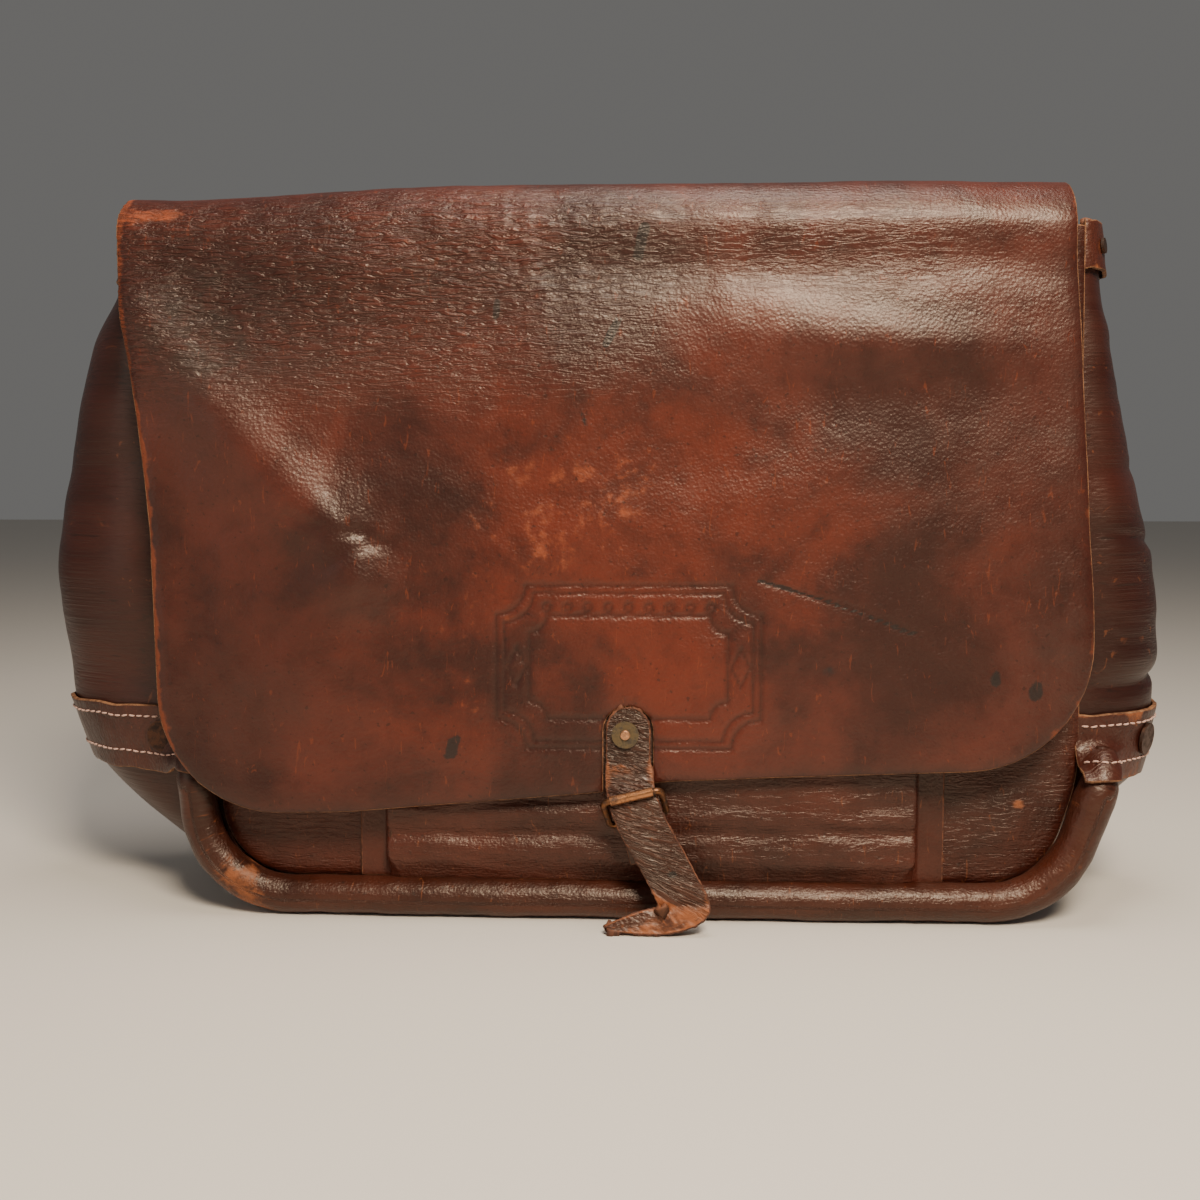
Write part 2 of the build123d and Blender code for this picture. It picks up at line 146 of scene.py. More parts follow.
def dip(value, middle, width, power=2):
    """1 where a value is at the middle, falling off to 0 on both sides of it."""
    return np.exp(-(((value - middle) / width) ** power))


def spread(*columns):
    """Columns side by side, where a number stands for a column of it."""
    return np.stack(np.broadcast_arrays(*columns), axis=-1).astype(float)


def run_of(path):
    """The length along a path at each of its points."""
    return np.concatenate([[0], np.cumsum(np.linalg.norm(np.diff(path, axis=0), axis=1))])


def line_at(x, z, points, width):
    """A soft ridge of height 1 along a polyline."""
    best = np.full(np.shape(x), 1e9)
    for (x0, z0), (x1, z1) in zip(points, points[1:]):
        dx, dz = x1 - x0, z1 - z0
        t = np.clip(((x - x0) * dx + (z - z0) * dz) / (dx * dx + dz * dz), 0, 1)
        best = np.minimum(best, np.hypot(x - x0 - t * dx, z - z0 - t * dz))
    return np.exp(-((best / width) ** 2))


# ---- Curves and meshes ----
def curve(points, count):
    """count points evenly spaced along a smooth curve through the points."""
    p = np.asarray(points, float)
    ends = np.vstack([2 * p[0] - p[1], p, 2 * p[-1] - p[-2]])
    out = []
    for a, b, c, d in zip(ends, ends[1:], ends[2:], ends[3:]):
        t = np.linspace(0, 1, 24, endpoint=False)[:, None]
        square, cube = 2 * a - 5 * b + 4 * c - d, 3 * b - a - 3 * c + d
        out.append(0.5 * (2 * b + (c - a) * t + square * t**2 + cube * t**3))
    return resample(np.vstack(out + [p[-1:]]), np.linspace(0, 1, count))


def resample(points, shares):
    """Points at given shares of a polyline's length."""
    run = run_of(points)
    return along(np.asarray(shares) * run[-1], run, points)


def along(at, run, values):
    """Each column of values, read at the given lengths of a run."""
    return np.stack([np.interp(at, run, column) for column in np.transpose(values)], axis=1)


def rounded(points, radii, per_arc=24):
    """An open polyline with each inner corner turned into an arc of the listed radius."""
    p = [np.array(q, float) for q in points]
    out = [p[0]]
    for before, here, after, r in zip(p, p[1:], p[2:], radii):
        a = (before - here) / np.linalg.norm(before - here)
        b = (after - here) / np.linalg.norm(after - here)
        half = math.acos(np.clip(a @ b, -1, 1)) / 2
        reach = r / math.tan(half)
        middle = here + (a + b) / np.linalg.norm(a + b) * r / math.sin(half)
        start, end = here + a * reach - middle, here + b * reach - middle
        turn = math.pi - 2 * half
        for t in np.linspace(0, 1, per_arc):
            swing = start * math.sin((1 - t) * turn) + end * math.sin(t * turn)
            out.append(middle + swing / math.sin(turn))
    out.append(p[-1])
    return np.array(out)


def normals_of(grid):
    """Unit normals of a grid of points, rows x columns x 3."""
    across = np.gradient(grid, axis=1)
    down = np.gradient(grid, axis=0)
    n = np.cross(across, down)
    return n / np.maximum(np.linalg.norm(n, axis=2, keepdims=True), 1e-9)


def new_object(name, vertices, faces, materials, indices=None, attributes=None):
    """A smooth-shaded mesh object from layout millimetres."""
    mesh = bpy.data.meshes.new(name)
    mesh.from_pydata(place(vertices).tolist(), [], [list(map(int, f)) for f in faces])
    for material in materials:
        mesh.materials.append(material)
    if indices is not None:
        mesh.polygons.foreach_set("material_index", np.asarray(indices, np.int32))
    mesh.polygons.foreach_set("use_smooth", np.full(len(mesh.polygons), True))
    for key, values in (attributes or {}).items():
        values = np.asarray(values, np.float32)
        kind, field = ("FLOAT", "value") if values.ndim == 1 else ("FLOAT_VECTOR", "vector")
        mesh.attributes.new(key, kind, "POINT").data.foreach_set(field, values.ravel())
    mesh.update()
    return link(name, mesh)


def grid_faces(rows, columns, closed=False):
    r = np.arange(rows - 1)[:, None]
    c = np.arange(columns if closed else columns - 1)[None, :]
    n = (c + 1) % columns
    corners = [r * columns + c, r * columns + n, (r + 1) * columns + n, (r + 1) * columns + c]
    return np.stack(corners, axis=-1).reshape(-1, 4)


def tube(path, radius, around=28):
    """The points and faces of a round tube along a path. Radius is one number or one for each point."""
    p = np.asarray(path, float)
    r = np.broadcast_to(radius, len(p)).astype(float)
    along = np.gradient(p, axis=0)
    along /= np.linalg.norm(along, axis=1)[:, None]
    side = np.cross(along, [0.0, 1.0, 0.0])
    weak = np.linalg.norm(side, axis=1) < 1e-3
    side[weak] = np.cross(along[weak], [1.0, 0.0, 0.0])
    side /= np.linalg.norm(side, axis=1)[:, None]
    other = np.cross(along, side)
    angle = np.linspace(0, 2 * math.pi, around, endpoint=False)
    ring = side[:, None] * np.cos(angle)[None, :, None] + other[:, None] * np.sin(angle)[None, :, None]
    vertices = (p[:, None] + r[:, None, None] * ring).reshape(-1, 3)
    faces = [tuple(f) for f in grid_faces(len(p), around, closed=True)]
    faces.append(tuple(range(around))[::-1])
    faces.append(tuple((len(p) - 1) * around + i for i in range(around)))
    return vertices, faces


def mesh_normals(points, faces):
    total = np.zeros_like(points)
    a, b, c, d = (points[faces[:, k]] for k in range(4))
    face_normal = np.cross(c - a, d - b)
    for k in range(4):
        np.add.at(total, faces[:, k], face_normal)
    return total / np.maximum(np.linalg.norm(total, axis=1, keepdims=True), 1e-9)


def face_out(points, faces, direction):
    """The same faces, turned so that they look in a direction on the whole."""
    looks = mesh_normals(points, faces).mean(axis=0) @ np.array(direction, float)
    return faces if looks > 0 else faces[:, ::-1]


def open_edges(faces):
    """Edges that only one face uses, in that face's direction."""
    edges = np.vstack([np.stack([faces[:, k], faces[:, (k + 1) % 4]], axis=1) for k in range(4)])
    edges = edges[edges[:, 0] != edges[:, 1]]
    size = int(edges.max()) + 1
    key = edges[:, 0] * size + edges[:, 1]
    back = edges[:, 1] * size + edges[:, 0]
    return edges[~np.isin(key, back)]


# A rim's rings: outwards and down in bevels, from the outer face or, if negative, from the inner face.
RIM = [(0.7, 0.25), (1.0, 0.9), (1.0, -0.9), (0.7, -0.25)]


def slab(name, points, faces, thick, materials, attributes, bevel=0.8, seam=None):
    """A sheet of leather: its outer face at the points, its inner face thick behind, and a rounded rim.

    The three materials are for the outer face, the inner face and the rim. No rim is made where seam is true.
    """
    normal = mesh_normals(points, faces)
    edges = open_edges(faces)
    if seam is not None:
        edges = edges[~(seam[edges[:, 0]] & seam[edges[:, 1]])]
    ring, place_in_ring = np.unique(edges, return_inverse=True)
    place_in_ring = place_in_ring.reshape(edges.shape)
    outwards = np.zeros((len(ring), 3))
    sideways = np.cross(points[edges[:, 1]] - points[edges[:, 0]], normal[edges[:, 0]])
    for k in range(2):
        np.add.at(outwards, place_in_ring[:, k], sideways)
    outwards /= np.maximum(np.linalg.norm(outwards, axis=1, keepdims=True), 1e-9)
    layers = []
    for out, down in RIM:
        depth = down * bevel if down > 0 else thick + down * bevel
        layers.append(points[ring] - normal[ring] * depth + outwards * out * bevel)
    count = len(points)
    inner = points - normal * thick
    vertices = np.vstack([points, inner] + layers)
    all_faces = [faces, faces[:, ::-1] + count]
    kinds = [np.zeros(len(faces), int), np.ones(len(faces), int)]
    between = [2 * count + k * len(ring) + np.arange(len(ring)) for k in range(len(RIM))]
    levels = [ring] + between + [ring + count]
    for upper, lower in zip(levels, levels[1:]):
        a, b = place_in_ring[:, 0], place_in_ring[:, 1]
        all_faces.append(np.stack([upper[b], upper[a], lower[a], lower[b]], axis=1))
        kinds.append(np.full(len(edges), 2))
    extra = {}
    for key, values in attributes.items():
        values = np.asarray(values, float)
        extra[key] = np.concatenate([values, values] + [values[ring]] * len(RIM))
    return new_object(name, vertices, np.vstack(all_faces), materials, np.concatenate(kinds), extra)


def cut(flat, faces, distance):
    """Cuts a hole in a sheet. distance is below 0 in the hole and is given sheet coordinates."""
    middle = flat[faces].mean(axis=1)
    kept = faces[distance(middle) > 0]
    gone = np.unique(faces[distance(middle) <= 0])
    edge = np.intersect1d(gone, np.unique(kept))
    flat = flat.copy()
    step = 0.05
    for _ in range(4):
        here = flat[edge]
        d = distance(here)
        slope = np.stack([
            distance(here + [step, 0]) - distance(here - [step, 0]),
            distance(here + [0, step]) - distance(here - [0, step]),
        ], axis=1) / (2 * step)
        size = np.maximum((slope**2).sum(axis=1, keepdims=True), 1e-6)
        flat[edge] = here - slope / size * d[:, None]
    return flat, kept


def tidy(points, faces, attributes):
    """Drops points that no face uses."""
    used, renumbered = np.unique(faces, return_inverse=True)
    return points[used], renumbered.reshape(faces.shape), {k: v[used] for k, v in attributes.items()}


def coons(top, bottom, left, right, across, down):
    """A grid of sheet coordinates inside four edge curves, with the given shares across and down."""
    t, b = resample(top, across), resample(bottom, across)
    l, r = resample(left, down), resample(right, down)
    u = np.asarray(across)[None, :, None]
    v = np.asarray(down)[:, None, None]
    flat = (1 - v) * t[None] + v * b[None] + (1 - u) * l[:, None] + u * r[:, None]
    flat -= (1 - u) * (1 - v) * t[0] + u * (1 - v) * t[-1] + (1 - u) * v * b[0] + u * v * b[-1]
    return flat


def shares(start, end, spacing):
    """Shares from 0 to 1 whose steps follow spacing(position)."""
    marks = [start]
    while marks[-1] < end:
        marks.append(marks[-1] + spacing(marks[-1]))
    marks = np.array(marks)
    return (marks - marks[0]) / (marks[-1] - marks[0])


def from_border(flat, outline):
    """Distance of each sheet point to an outline."""
    best = np.full(len(flat), 1e9)
    for a, b in zip(outline, outline[1:]):
        d = b - a
        t = np.clip(((flat - a) @ d) / max(d @ d, 1e-9), 0, 1)
        best = np.minimum(best, np.linalg.norm(flat - a - t[:, None] * d, axis=1))
    return best


# ---- Materials ----
class Nodes:
    """Short ways to make a material's nodes."""

    def __init__(self, name):
        self.material = bpy.data.materials.new(name)
        self.material.use_nodes = True
        self.tree = self.material.node_tree
        self.shader = self.tree.nodes["Principled BSDF"]

    def add(self, kind, inputs=None, **settings):
        node = self.tree.nodes.new(kind)
        for key, value in settings.items():
            setattr(node, key, value)
        for key, value in (inputs or {}).items():
            self.feed(node.inputs[key], value)
        return node

    def feed(self, socket, value):
        if isinstance(value, bpy.types.NodeSocket):
            self.tree.links.new(value, socket)
        else:
            socket.default_value = value

    def math(self, operation, a, b=0.0, clamp=False):
        node = self.add("ShaderNodeMath", {0: a, 1: b}, operation=operation, use_clamp=clamp)
        return node.outputs[0]

    def mix(self, factor, a, b, blend="MIX"):
        node = self.add("ShaderNodeMix", data_type="RGBA", blend_type=blend, clamp_factor=True)
        self.feed(node.inputs[0], factor)
        self.feed(node.inputs[6], a)
        self.feed(node.inputs[7], b)
        return node.outputs[2]

    def noise(self, vector, scale, detail=4.0, rough=0.55, warp=0.0):
        inputs = {"Vector": vector, "Scale": scale, "Detail": detail, "Roughness": rough}
        return self.add("ShaderNodeTexNoise", inputs | {"Distortion": warp}).outputs["Fac"]

    def times(self, a, b):
        return self.math("MULTIPLY", a, b)

    def plus(self, a, b):
        return self.math("ADD", a, b)

    def paint(self, base, mask, amount, tint):
        """The base with a tint over it where the mask says."""
        return self.mix(self.times(mask, amount), base, tint)

    def ragged(self, mask, grain, depth, low, high):
        """A mask whose border follows a noise."""
        return self.step(self.plus(mask, self.times(self.math("SUBTRACT", grain, 0.5), depth)), low, high)

    def step(self, value, low, high):
        node = self.add("ShaderNodeMapRange", {0: value, 1: low, 2: high}, interpolation_type="SMOOTHSTEP")
        return node.outputs[0]

    def stretch(self, vector, scale):
        return self.add("ShaderNodeVectorMath", {0: vector, 1: scale}, operation="MULTIPLY").outputs[0]

    def value(self, name):
        return self.add("ShaderNodeAttribute", attribute_name=name).outputs["Fac"]

    def set(self, **inputs):
        for key, value in inputs.items():
            self.feed(self.shader.inputs[key.replace("_", " ")], value)


def colour(r, g, b):
    return (r, g, b, 1.0)


def dim(tint, share):
    return colour(*[c * share for c in tint[:3]])


WORN = colour(0.28, 0.085, 0.028)
# Dark grey for smoke stains and for painted shade.
SMOKE_AND_SHADE_TINT = colour(0.022, 0.017, 0.015)
# Near black for ink and for the painted shade of the strap's hole.
INK_AND_HOLE_SHADE_TINT = colour(0.006, 0.007, 0.008)


def leather(name, dark, light, rough=0.42, coat=0.12, worn=WORN, warm=None):
    """Waxed, worn leather. It reads the mesh attributes rest, wear, smoke, fold, ink, shade and warm."""
    n = Nodes(name)
    rest = n.add("ShaderNodeAttribute", attribute_name="rest").outputs["Vector"]
    wide = n.noise(rest, 11.0, 5.0, 0.55, 0.6)
    fine = n.noise(rest, 62.0, 7.0, 0.65, 0.3)
    speck = n.noise(rest, 420.0, 3.0, 0.6)
    tone = n.step(n.plus(n.times(wide, 0.7), n.times(fine, 0.3)), 0.36, 0.64)
    rich = n.ragged(n.value("warm"), wide, 1.4, 0.2, 0.75)
    base = n.mix(tone, dark, n.mix(rich, light, warm or light))
    base = n.paint(base, n.step(fine, 0.52, 0.7), 0.3, dim(dark, 0.5))
    # Smoke stains and painted shade, broken up by noise.
    smoke_and_shade = n.times(n.value("smoke_and_shade"), n.step(n.plus(fine, n.times(wide, 0.6)), 0.6, 0.95))
    base = n.paint(base, smoke_and_shade, 0.85, SMOKE_AND_SHADE_TINT)
    wear = n.ragged(n.value("wear"), fine, 1.5, 0.42, 0.75)
    base = n.paint(base, wear, 0.85, worn)
    # Ink, and painted shade where a hole is shown as a dark mark.
    base = n.paint(base, n.ragged(n.value("ink_and_hole_shade"), fine, 1.3, 0.4, 0.62), 0.85, INK_AND_HOLE_SHADE_TINT)
    pits = n.step(n.noise(rest, 330.0, 2.0, 0.5), 0.64, 0.72)
    base = n.paint(base, pits, 0.55, dim(dark, 0.4))
    scuffs = n.step(n.noise(n.stretch(rest, (240.0, 60.0, 60.0)), 1.0, 3.0, 0.6, 1.5), 0.64, 0.7)
    base = n.paint(base, scuffs, 0.28, worn)
    base = n.paint(base, speck, 0.5, n.mix(1.0, base, colour(0.45, 0.4, 0.4), "MULTIPLY"))
    base = n.paint(base, n.value("shade"), 0.72, dim(dark, 0.35))
    # Painted shade: the colour is darkened along the noise crease lines, which the bump also sinks.
    creases = n.noise(n.stretch(rest, (75.0, 400.0, 75.0)), 1.0, 3.0, 0.5, 0.6)
    far = n.math("ABSOLUTE", n.times(n.math("SUBTRACT", creases, 0.5), 8.0))
    crease_shade = n.times(n.math("SUBTRACT", 1.0, far, True), n.value("crease_shade"))
    base = n.paint(base, crease_shade, 0.55, dim(dark, 0.3))
    pores = n.add("ShaderNodeTexVoronoi", {"Vector": rest, "Scale": 640.0}).outputs[0]
    height = n.plus(n.times(pores, 0.25), n.times(fine, 0.7))
    height = n.plus(height, n.times(speck, 0.35))
    height = n.math("SUBTRACT", height, n.times(crease_shade, 1.1))
    bump = n.add("ShaderNodeBump", {"Strength": 0.7, "Distance": 0.0009, "Height": height})
    shine = n.plus(rough - 0.1, n.times(n.plus(fine, speck), 0.13))
    shine = n.plus(shine, n.times(wear, 0.22))
    n.set(Base_Color=base, Roughness=shine, Normal=bump.outputs[0], Coat_Weight=coat, Coat_Roughness=0.3)
    n.set(Specular_IOR_Level=0.45, Specular_Tint=colour(1.0, 0.86, 0.74))
    return n.material


def raw_edge(name, light, dark):
    """The fibrous cut edge or flesh side of leather."""
    n = Nodes(name)
    rest = n.add("ShaderNodeAttribute", attribute_name="rest").outputs["Vector"]
    fibre = n.noise(rest, 300.0, 6.0, 0.7)
    wide = n.noise(rest, 36.0, 4.0)
    tone = n.step(n.plus(n.times(fibre, 0.6), n.times(wide, 0.5)), 0.42, 0.68)
    bump = n.add("ShaderNodeBump", {"Strength": 0.6, "Distance": 0.0006, "Height": fibre})
    n.set(Base_Color=n.mix(tone, dark, light), Roughness=n.plus(0.6, n.times(fibre, 0.3)))
    n.set(Normal=bump.outputs[0], Specular_IOR_Level=0.3)
    return n.material


def metal(name, bright, dull, rough):
    """Old brass or iron with tarnish. It uses the object's own coordinates, so CAD nodes can wear it."""
    n = Nodes(name)
    own = n.add("ShaderNodeTexCoord").outputs["Object"]
    blotch = n.noise(own, 260.0, 5.0, 0.65)
    fine = n.noise(own, 1500.0, 4.0, 0.6)
    tarnish = n.step(blotch, 0.4, 0.66)
    bump = n.add("ShaderNodeBump", {"Strength": 0.25, "Distance": 0.0003, "Height": n.plus(blotch, fine)})
    n.set(Base_Color=n.mix(tarnish, bright, dull), Metallic=n.math("SUBTRACT", 1.0, n.times(tarnish, 0.5)))
    n.set(Roughness=n.plus(rough, n.times(tarnish, 0.3)), Normal=bump.outputs[0])
    return n.material


def thread(name):
    n = Nodes(name)
    own = n.add("ShaderNodeTexCoord").outputs["Object"]
    grime = n.noise(own, 420.0, 3.0)
    n.set(Base_Color=n.mix(grime, colour(0.62, 0.42, 0.36), colour(0.3, 0.17, 0.13)), Roughness=0.8)
    return n.material


flap_skin = leather(
    "flap_leather", colour(0.027, 0.0046, 0.003), colour(0.085, 0.0155, 0.0085), 0.37, 0.1,
    worn=colour(0.24, 0.048, 0.013), warm=colour(0.118, 0.0165, 0.006),
)
body_skin = leather("body_leather", colour(0.025, 0.0044, 0.0023), colour(0.08, 0.0135, 0.0056), 0.38, 0.05)
side_skin = leather("gusset_leather", colour(0.018, 0.0032, 0.0022), colour(0.052, 0.0078, 0.0038), 0.4)
roll_skin = leather("roll_leather", colour(0.021, 0.0044, 0.002), colour(0.07, 0.0133, 0.0046), 0.36, 0.04)
strap_skin = leather("strap_leather", colour(0.021, 0.0062, 0.0034), colour(0.09, 0.0235, 0.0098), 0.36, 0.1)
band_skin = leather("band_leather", colour(0.024, 0.005, 0.003), colour(0.085, 0.016, 0.0075), 0.38)
flesh = raw_edge("flesh_side", colour(0.11, 0.042, 0.02), colour(0.035, 0.014, 0.008))
edge = raw_edge("raw_edge", colour(0.26, 0.125, 0.06), colour(0.07, 0.028, 0.014))
dark_edge = raw_edge("dark_edge", colour(0.16, 0.06, 0.03), colour(0.04, 0.015, 0.01))
brass = metal("old_brass", colour(0.42, 0.19, 0.085), colour(0.055, 0.026, 0.015), 0.28)
dark_brass = metal("dark_brass", colour(0.17, 0.075, 0.034), colour(0.03, 0.015, 0.010), 0.32)
copper = metal("copper_pin", colour(0.6, 0.3, 0.16), colour(0.2, 0.09, 0.045), 0.26)
washer_brass = metal("washer_brass", colour(0.17, 0.125, 0.07), colour(0.05, 0.038, 0.026), 0.34)
iron = metal("rivet_metal", colour(0.09, 0.045, 0.03), colour(0.025, 0.012, 0.008), 0.42)
cotton = thread("white_thread")

# ---- The bag's planes ----
LEAN = math.radians(1.4)
SIN, COS = math.sin(LEAN), math.cos(LEAN)
HALF_DEPTH = 54.0
PANEL_THICK = 4.0
FLAP_OUT = 23.5
FLAP_THICK = 4.0
FOLD_TOP = 385.0
FRONT_R, REAR_R = 28.0, 20.0


def front(x, climb, out=0.0):
    """Points off the front panel's face: x across, climb up along it, out towards the viewer."""
    x, climb, out = np.broadcast_arrays(np.asarray(x, float), climb, out)
    return np.stack([x, climb * SIN - HALF_DEPTH - out * COS, climb * COS + out * SIN], axis=-1)


def plain(points, crease_shade=0.0, wear=0.0, smoke_and_shade=0.0, ink_and_hole_shade=0.0, rest=None, shade=0.0, warm=0.0):
    """The attributes that every leather mesh has."""
    count = len(points)
    rest = points / 1000 if rest is None else rest
    values = {"crease_shade": crease_shade, "wear": wear, "smoke_and_shade": smoke_and_shade, "ink_and_hole_shade": ink_and_hole_shade, "shade": shade, "warm": warm}
    out = {key: np.broadcast_to(np.asarray(v, float), count).copy() for key, v in values.items()}
    out["rest"] = np.asarray(rest, float)
    return out


def finish_piece(piece, body, slot_name, *nodes):
    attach(piece, body)
    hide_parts(*nodes)


def leather_piece(name, points, rows, columns, looks, thick, skins, marks, owner, bevel=0.8, closed=False):
    """A slab on a grid of points. owner is its body, a material slot name that is not used, and the CAD node
    that it replaces.
    """
    faces = face_out(points, grid_faces(rows, columns, closed), looks)
    finish_piece(slab(name, points, faces, thick, skins, marks, bevel), *owner)


# ---- Back panel, folds and flap: one sheet of leather, x across and s along it from the back's foot ----
rear_climb = (FOLD_TOP - REAR_R + REAR_R * SIN) / COS
front_climb = (FOLD_TOP - FRONT_R + (FRONT_R - FLAP_OUT) * SIN) / COS
REAR_Y = HALF_DEPTH - rear_climb * SIN - REAR_R * COS
FRONT_Y = front_climb * SIN - HALF_DEPTH + (FRONT_R - FLAP_OUT) * COS
BACK_FOOT = 20.0


def bend(middle_y, radius, angles):
    return [(middle_y + radius * math.cos(a), FOLD_TOP - radius + radius * math.sin(a)) for a in angles]


def sheet_line():
    """The sheet's outer face from the side: a polyline of Y and z, its lengths, and where its parts end."""
    up_back = [(HALF_DEPTH - c * SIN, c * COS) for c in np.linspace(BACK_FOOT, rear_climb, 300)]
    rear = bend(REAR_Y, REAR_R, np.linspace(LEAN, math.pi / 2, 80))
    top = [(y, FOLD_TOP) for y in np.linspace(REAR_Y, FRONT_Y, 60)]
    over = bend(FRONT_Y, FRONT_R, np.linspace(math.pi / 2, math.pi - LEAN, 80))
    down = front(0, np.linspace(front_climb, 30, 300), FLAP_OUT)[:, 1:].tolist()
    parts = [up_back, rear[1:], top[1:], over[1:], down[1:]]
    line = np.array([q for part in parts for q in part])
    run = run_of(line)
    ends = np.cumsum([len(part) for part in parts]) - 1
    return line, run, run[ends]


line_yz, line_run, line_ends = sheet_line()
S_REAR, S_TOP, S_FRONT, S_HANG = line_ends[:4]
S_MID = (S_TOP + S_FRONT) / 2


def s_of(climb):
    """Where along the sheet a height on the hanging flap is."""
    return S_HANG + front_climb - climb


def sheet_point(flat, out):
    """Sheet coordinates and a distance off the outer face to space."""
    s, step = flat[:, 1], 0.8
    y, z = along(s, line_run, line_yz).T
    dy, dz = (along(s + step, line_run, line_yz) - along(s - step, line_run, line_yz)).T
    size = np.hypot(dy, dz)
    return np.stack([flat[:, 0], y + out * dz / size, z - out * dy / size], axis=1)


FLAP_OUTLINE = [
    (-258, S_MID), (-257.5, s_of(338)), (-245, s_of(214)), (-240.5, s_of(57)), (-144, s_of(59)),
    (-8, s_of(71)), (18, s_of(76.5)), (176, s_of(83.5)), (242, s_of(86)), (239, s_of(170)),
    (226, s_of(352)), (224, S_MID),
]
FLAP_RADII = [300, 500, 62, 260, 160, 160, 260, 64, 400, 300]
ARC = 24
flap_outline = rounded(FLAP_OUTLINE, FLAP_RADII, ARC)
low_left = 1 + 2 * ARC + ARC // 2
low_right = 1 + 7 * ARC + ARC // 2

SLOT_X, SLOT_HALF, SLOT_TOP = 4.5, 13.25, 116.0


def slot_distance(flat):
    """Distance to the closure slot's edge, negative in it."""
    x = np.abs(flat[:, 0] - SLOT_X)
    below = np.maximum(s_of(SLOT_TOP - SLOT_HALF) - flat[:, 1], 0)
    return np.hypot(x, below) - SLOT_HALF


def cartouche(x, c):
    """Tooled lines over the slot: three frames with scooped corners, two diamonds and a row of beads."""
    groove = np.zeros_like(x)
    for inset in (0.0, 4.2, 17.0):
        half_w, half_h = 68.0 - inset, 42.0 - inset * 0.9
        u, v = np.abs(x - SLOT_X), np.abs(c - 136.0)
        box_d = np.maximum(u - half_w, v - half_h)
        scoop = 15.0 if inset < 10 else 9.0
        notch = scoop - np.hypot(u - half_w, v - half_h)
        d = np.maximum(box_d, notch)
        groove = np.maximum(groove, np.exp(-((d / (1.15 if inset != 4.2 else 0.9)) ** 2)))
    for side in (-1, 1):
        u, v = np.abs(x - SLOT_X - side * 57.5), np.abs(c - 136.0)
        groove = np.maximum(groove, np.exp(-(((u * 1.9 + v * 0.9 - 9.0) / 1.7) ** 2)))
    for k in range(-4, 5):
        ring = np.hypot(x - SLOT_X - 10.5 * k, c - 166.8) - 2.0
        groove = np.maximum(groove, np.exp(-((ring / 1.0) ** 2)))
    return groove * smooth(c, 80, 90)


# The flap's hills and patches: height, centre x and climb, reach x and climb, and degrees if turned.
DENTS = [
    (-4.2, -222, 205, 30, 70, 12), (-2.4, -132, 262, 30, 26, 40), (3.6, 128, 302, 66, 16, -4),
    (2.0, -20, 292, 60, 22), (-1.8, 60, 250, 90, 25, 12), (1.2, -110, 120, 50, 40),
    (2.8, -150, 343, 50, 14, -8),
]
# Smoke stains; the entry at climb 330 right across the flap under the front fold is painted shade.
SMOKE_AND_SHADE_PATCHES = [
    (0.7, -215, 318, 44, 26), (0.5, -160, 296, 50, 22), (0.25, 0, 330, 240, 14), (0.6, -215, 290, 26, 60),
    (0.55, 232, 300, 16, 80), (0.4, -210, 110, 50, 40), (0.5, 225, 130, 30, 40), (0.35, 170, 240, 60, 50),
]
SHADE_PATCHES = [
    (0.3, 0, 333, 260, 13), (0.3, -228, 200, 24, 90, 8), (0.35, -95, 215, 26, 16, 30),
    (0.35, -52, 222, 16, 12), (0.3, -185, 140, 50, 60), (0.28, 180, 200, 60, 60),
    (0.25, -110, 235, 34, 26, 30),
]
WORN_PATCHES = [
    (0.36, -40, 200, 50, 40, 25), (0.34, -85, 130, 26, 40), (0.3, 10, 235, 80, 36), (0.6, -240, 368, 16, 7),
    (0.24, 215, 130, 40, 50),
]
INK_SPOTS = [
    (1.2, 191, 131, 3.5, 5), (1.2, 211, 125, 4, 6), (0.5, 105, 134, 14, 6, 20), (0.6, -18, 262, 2, 12, 20),
]
WARM_PATCHES = [(1, -20, 195, 110, 80, 15), (0.5, 120, 190, 110, 70), (0.4, -60, 110, 70, 40)]
RIDGE = [(-246, 314), (-222, 282), (-197, 253), (-171, 226), (-149, 207), (-138, 182)]
SCRATCH = [(71, 181), (104, 171), (122, 166), (150, 154)]
CREASES = [
    [(-150, 228), (-136, 206), (-118, 196)], [(-146, 196), (-132, 208), (-124, 222)],
    [(-170, 214), (-150, 206), (-132, 204)], [(-128, 206), (-126, 186), (-132, 170)],
    [(-152, 186), (-138, 196), (-120, 200)],
]
# Ink lines: strength, points and width.
INK_LINES = [
    (1.1, [(12, 358), (9, 345)], 3.2), (1.1, [(-1, 312), (-7, 300)], 2.2),
    (0.9, [(-62, 322), (-63, 314)], 1.8), (1.1, [(-88, 90), (-85, 98)], 2.6),
    (0.9, [(71, 181), (104, 171), (150, 154)], 1.1),
]


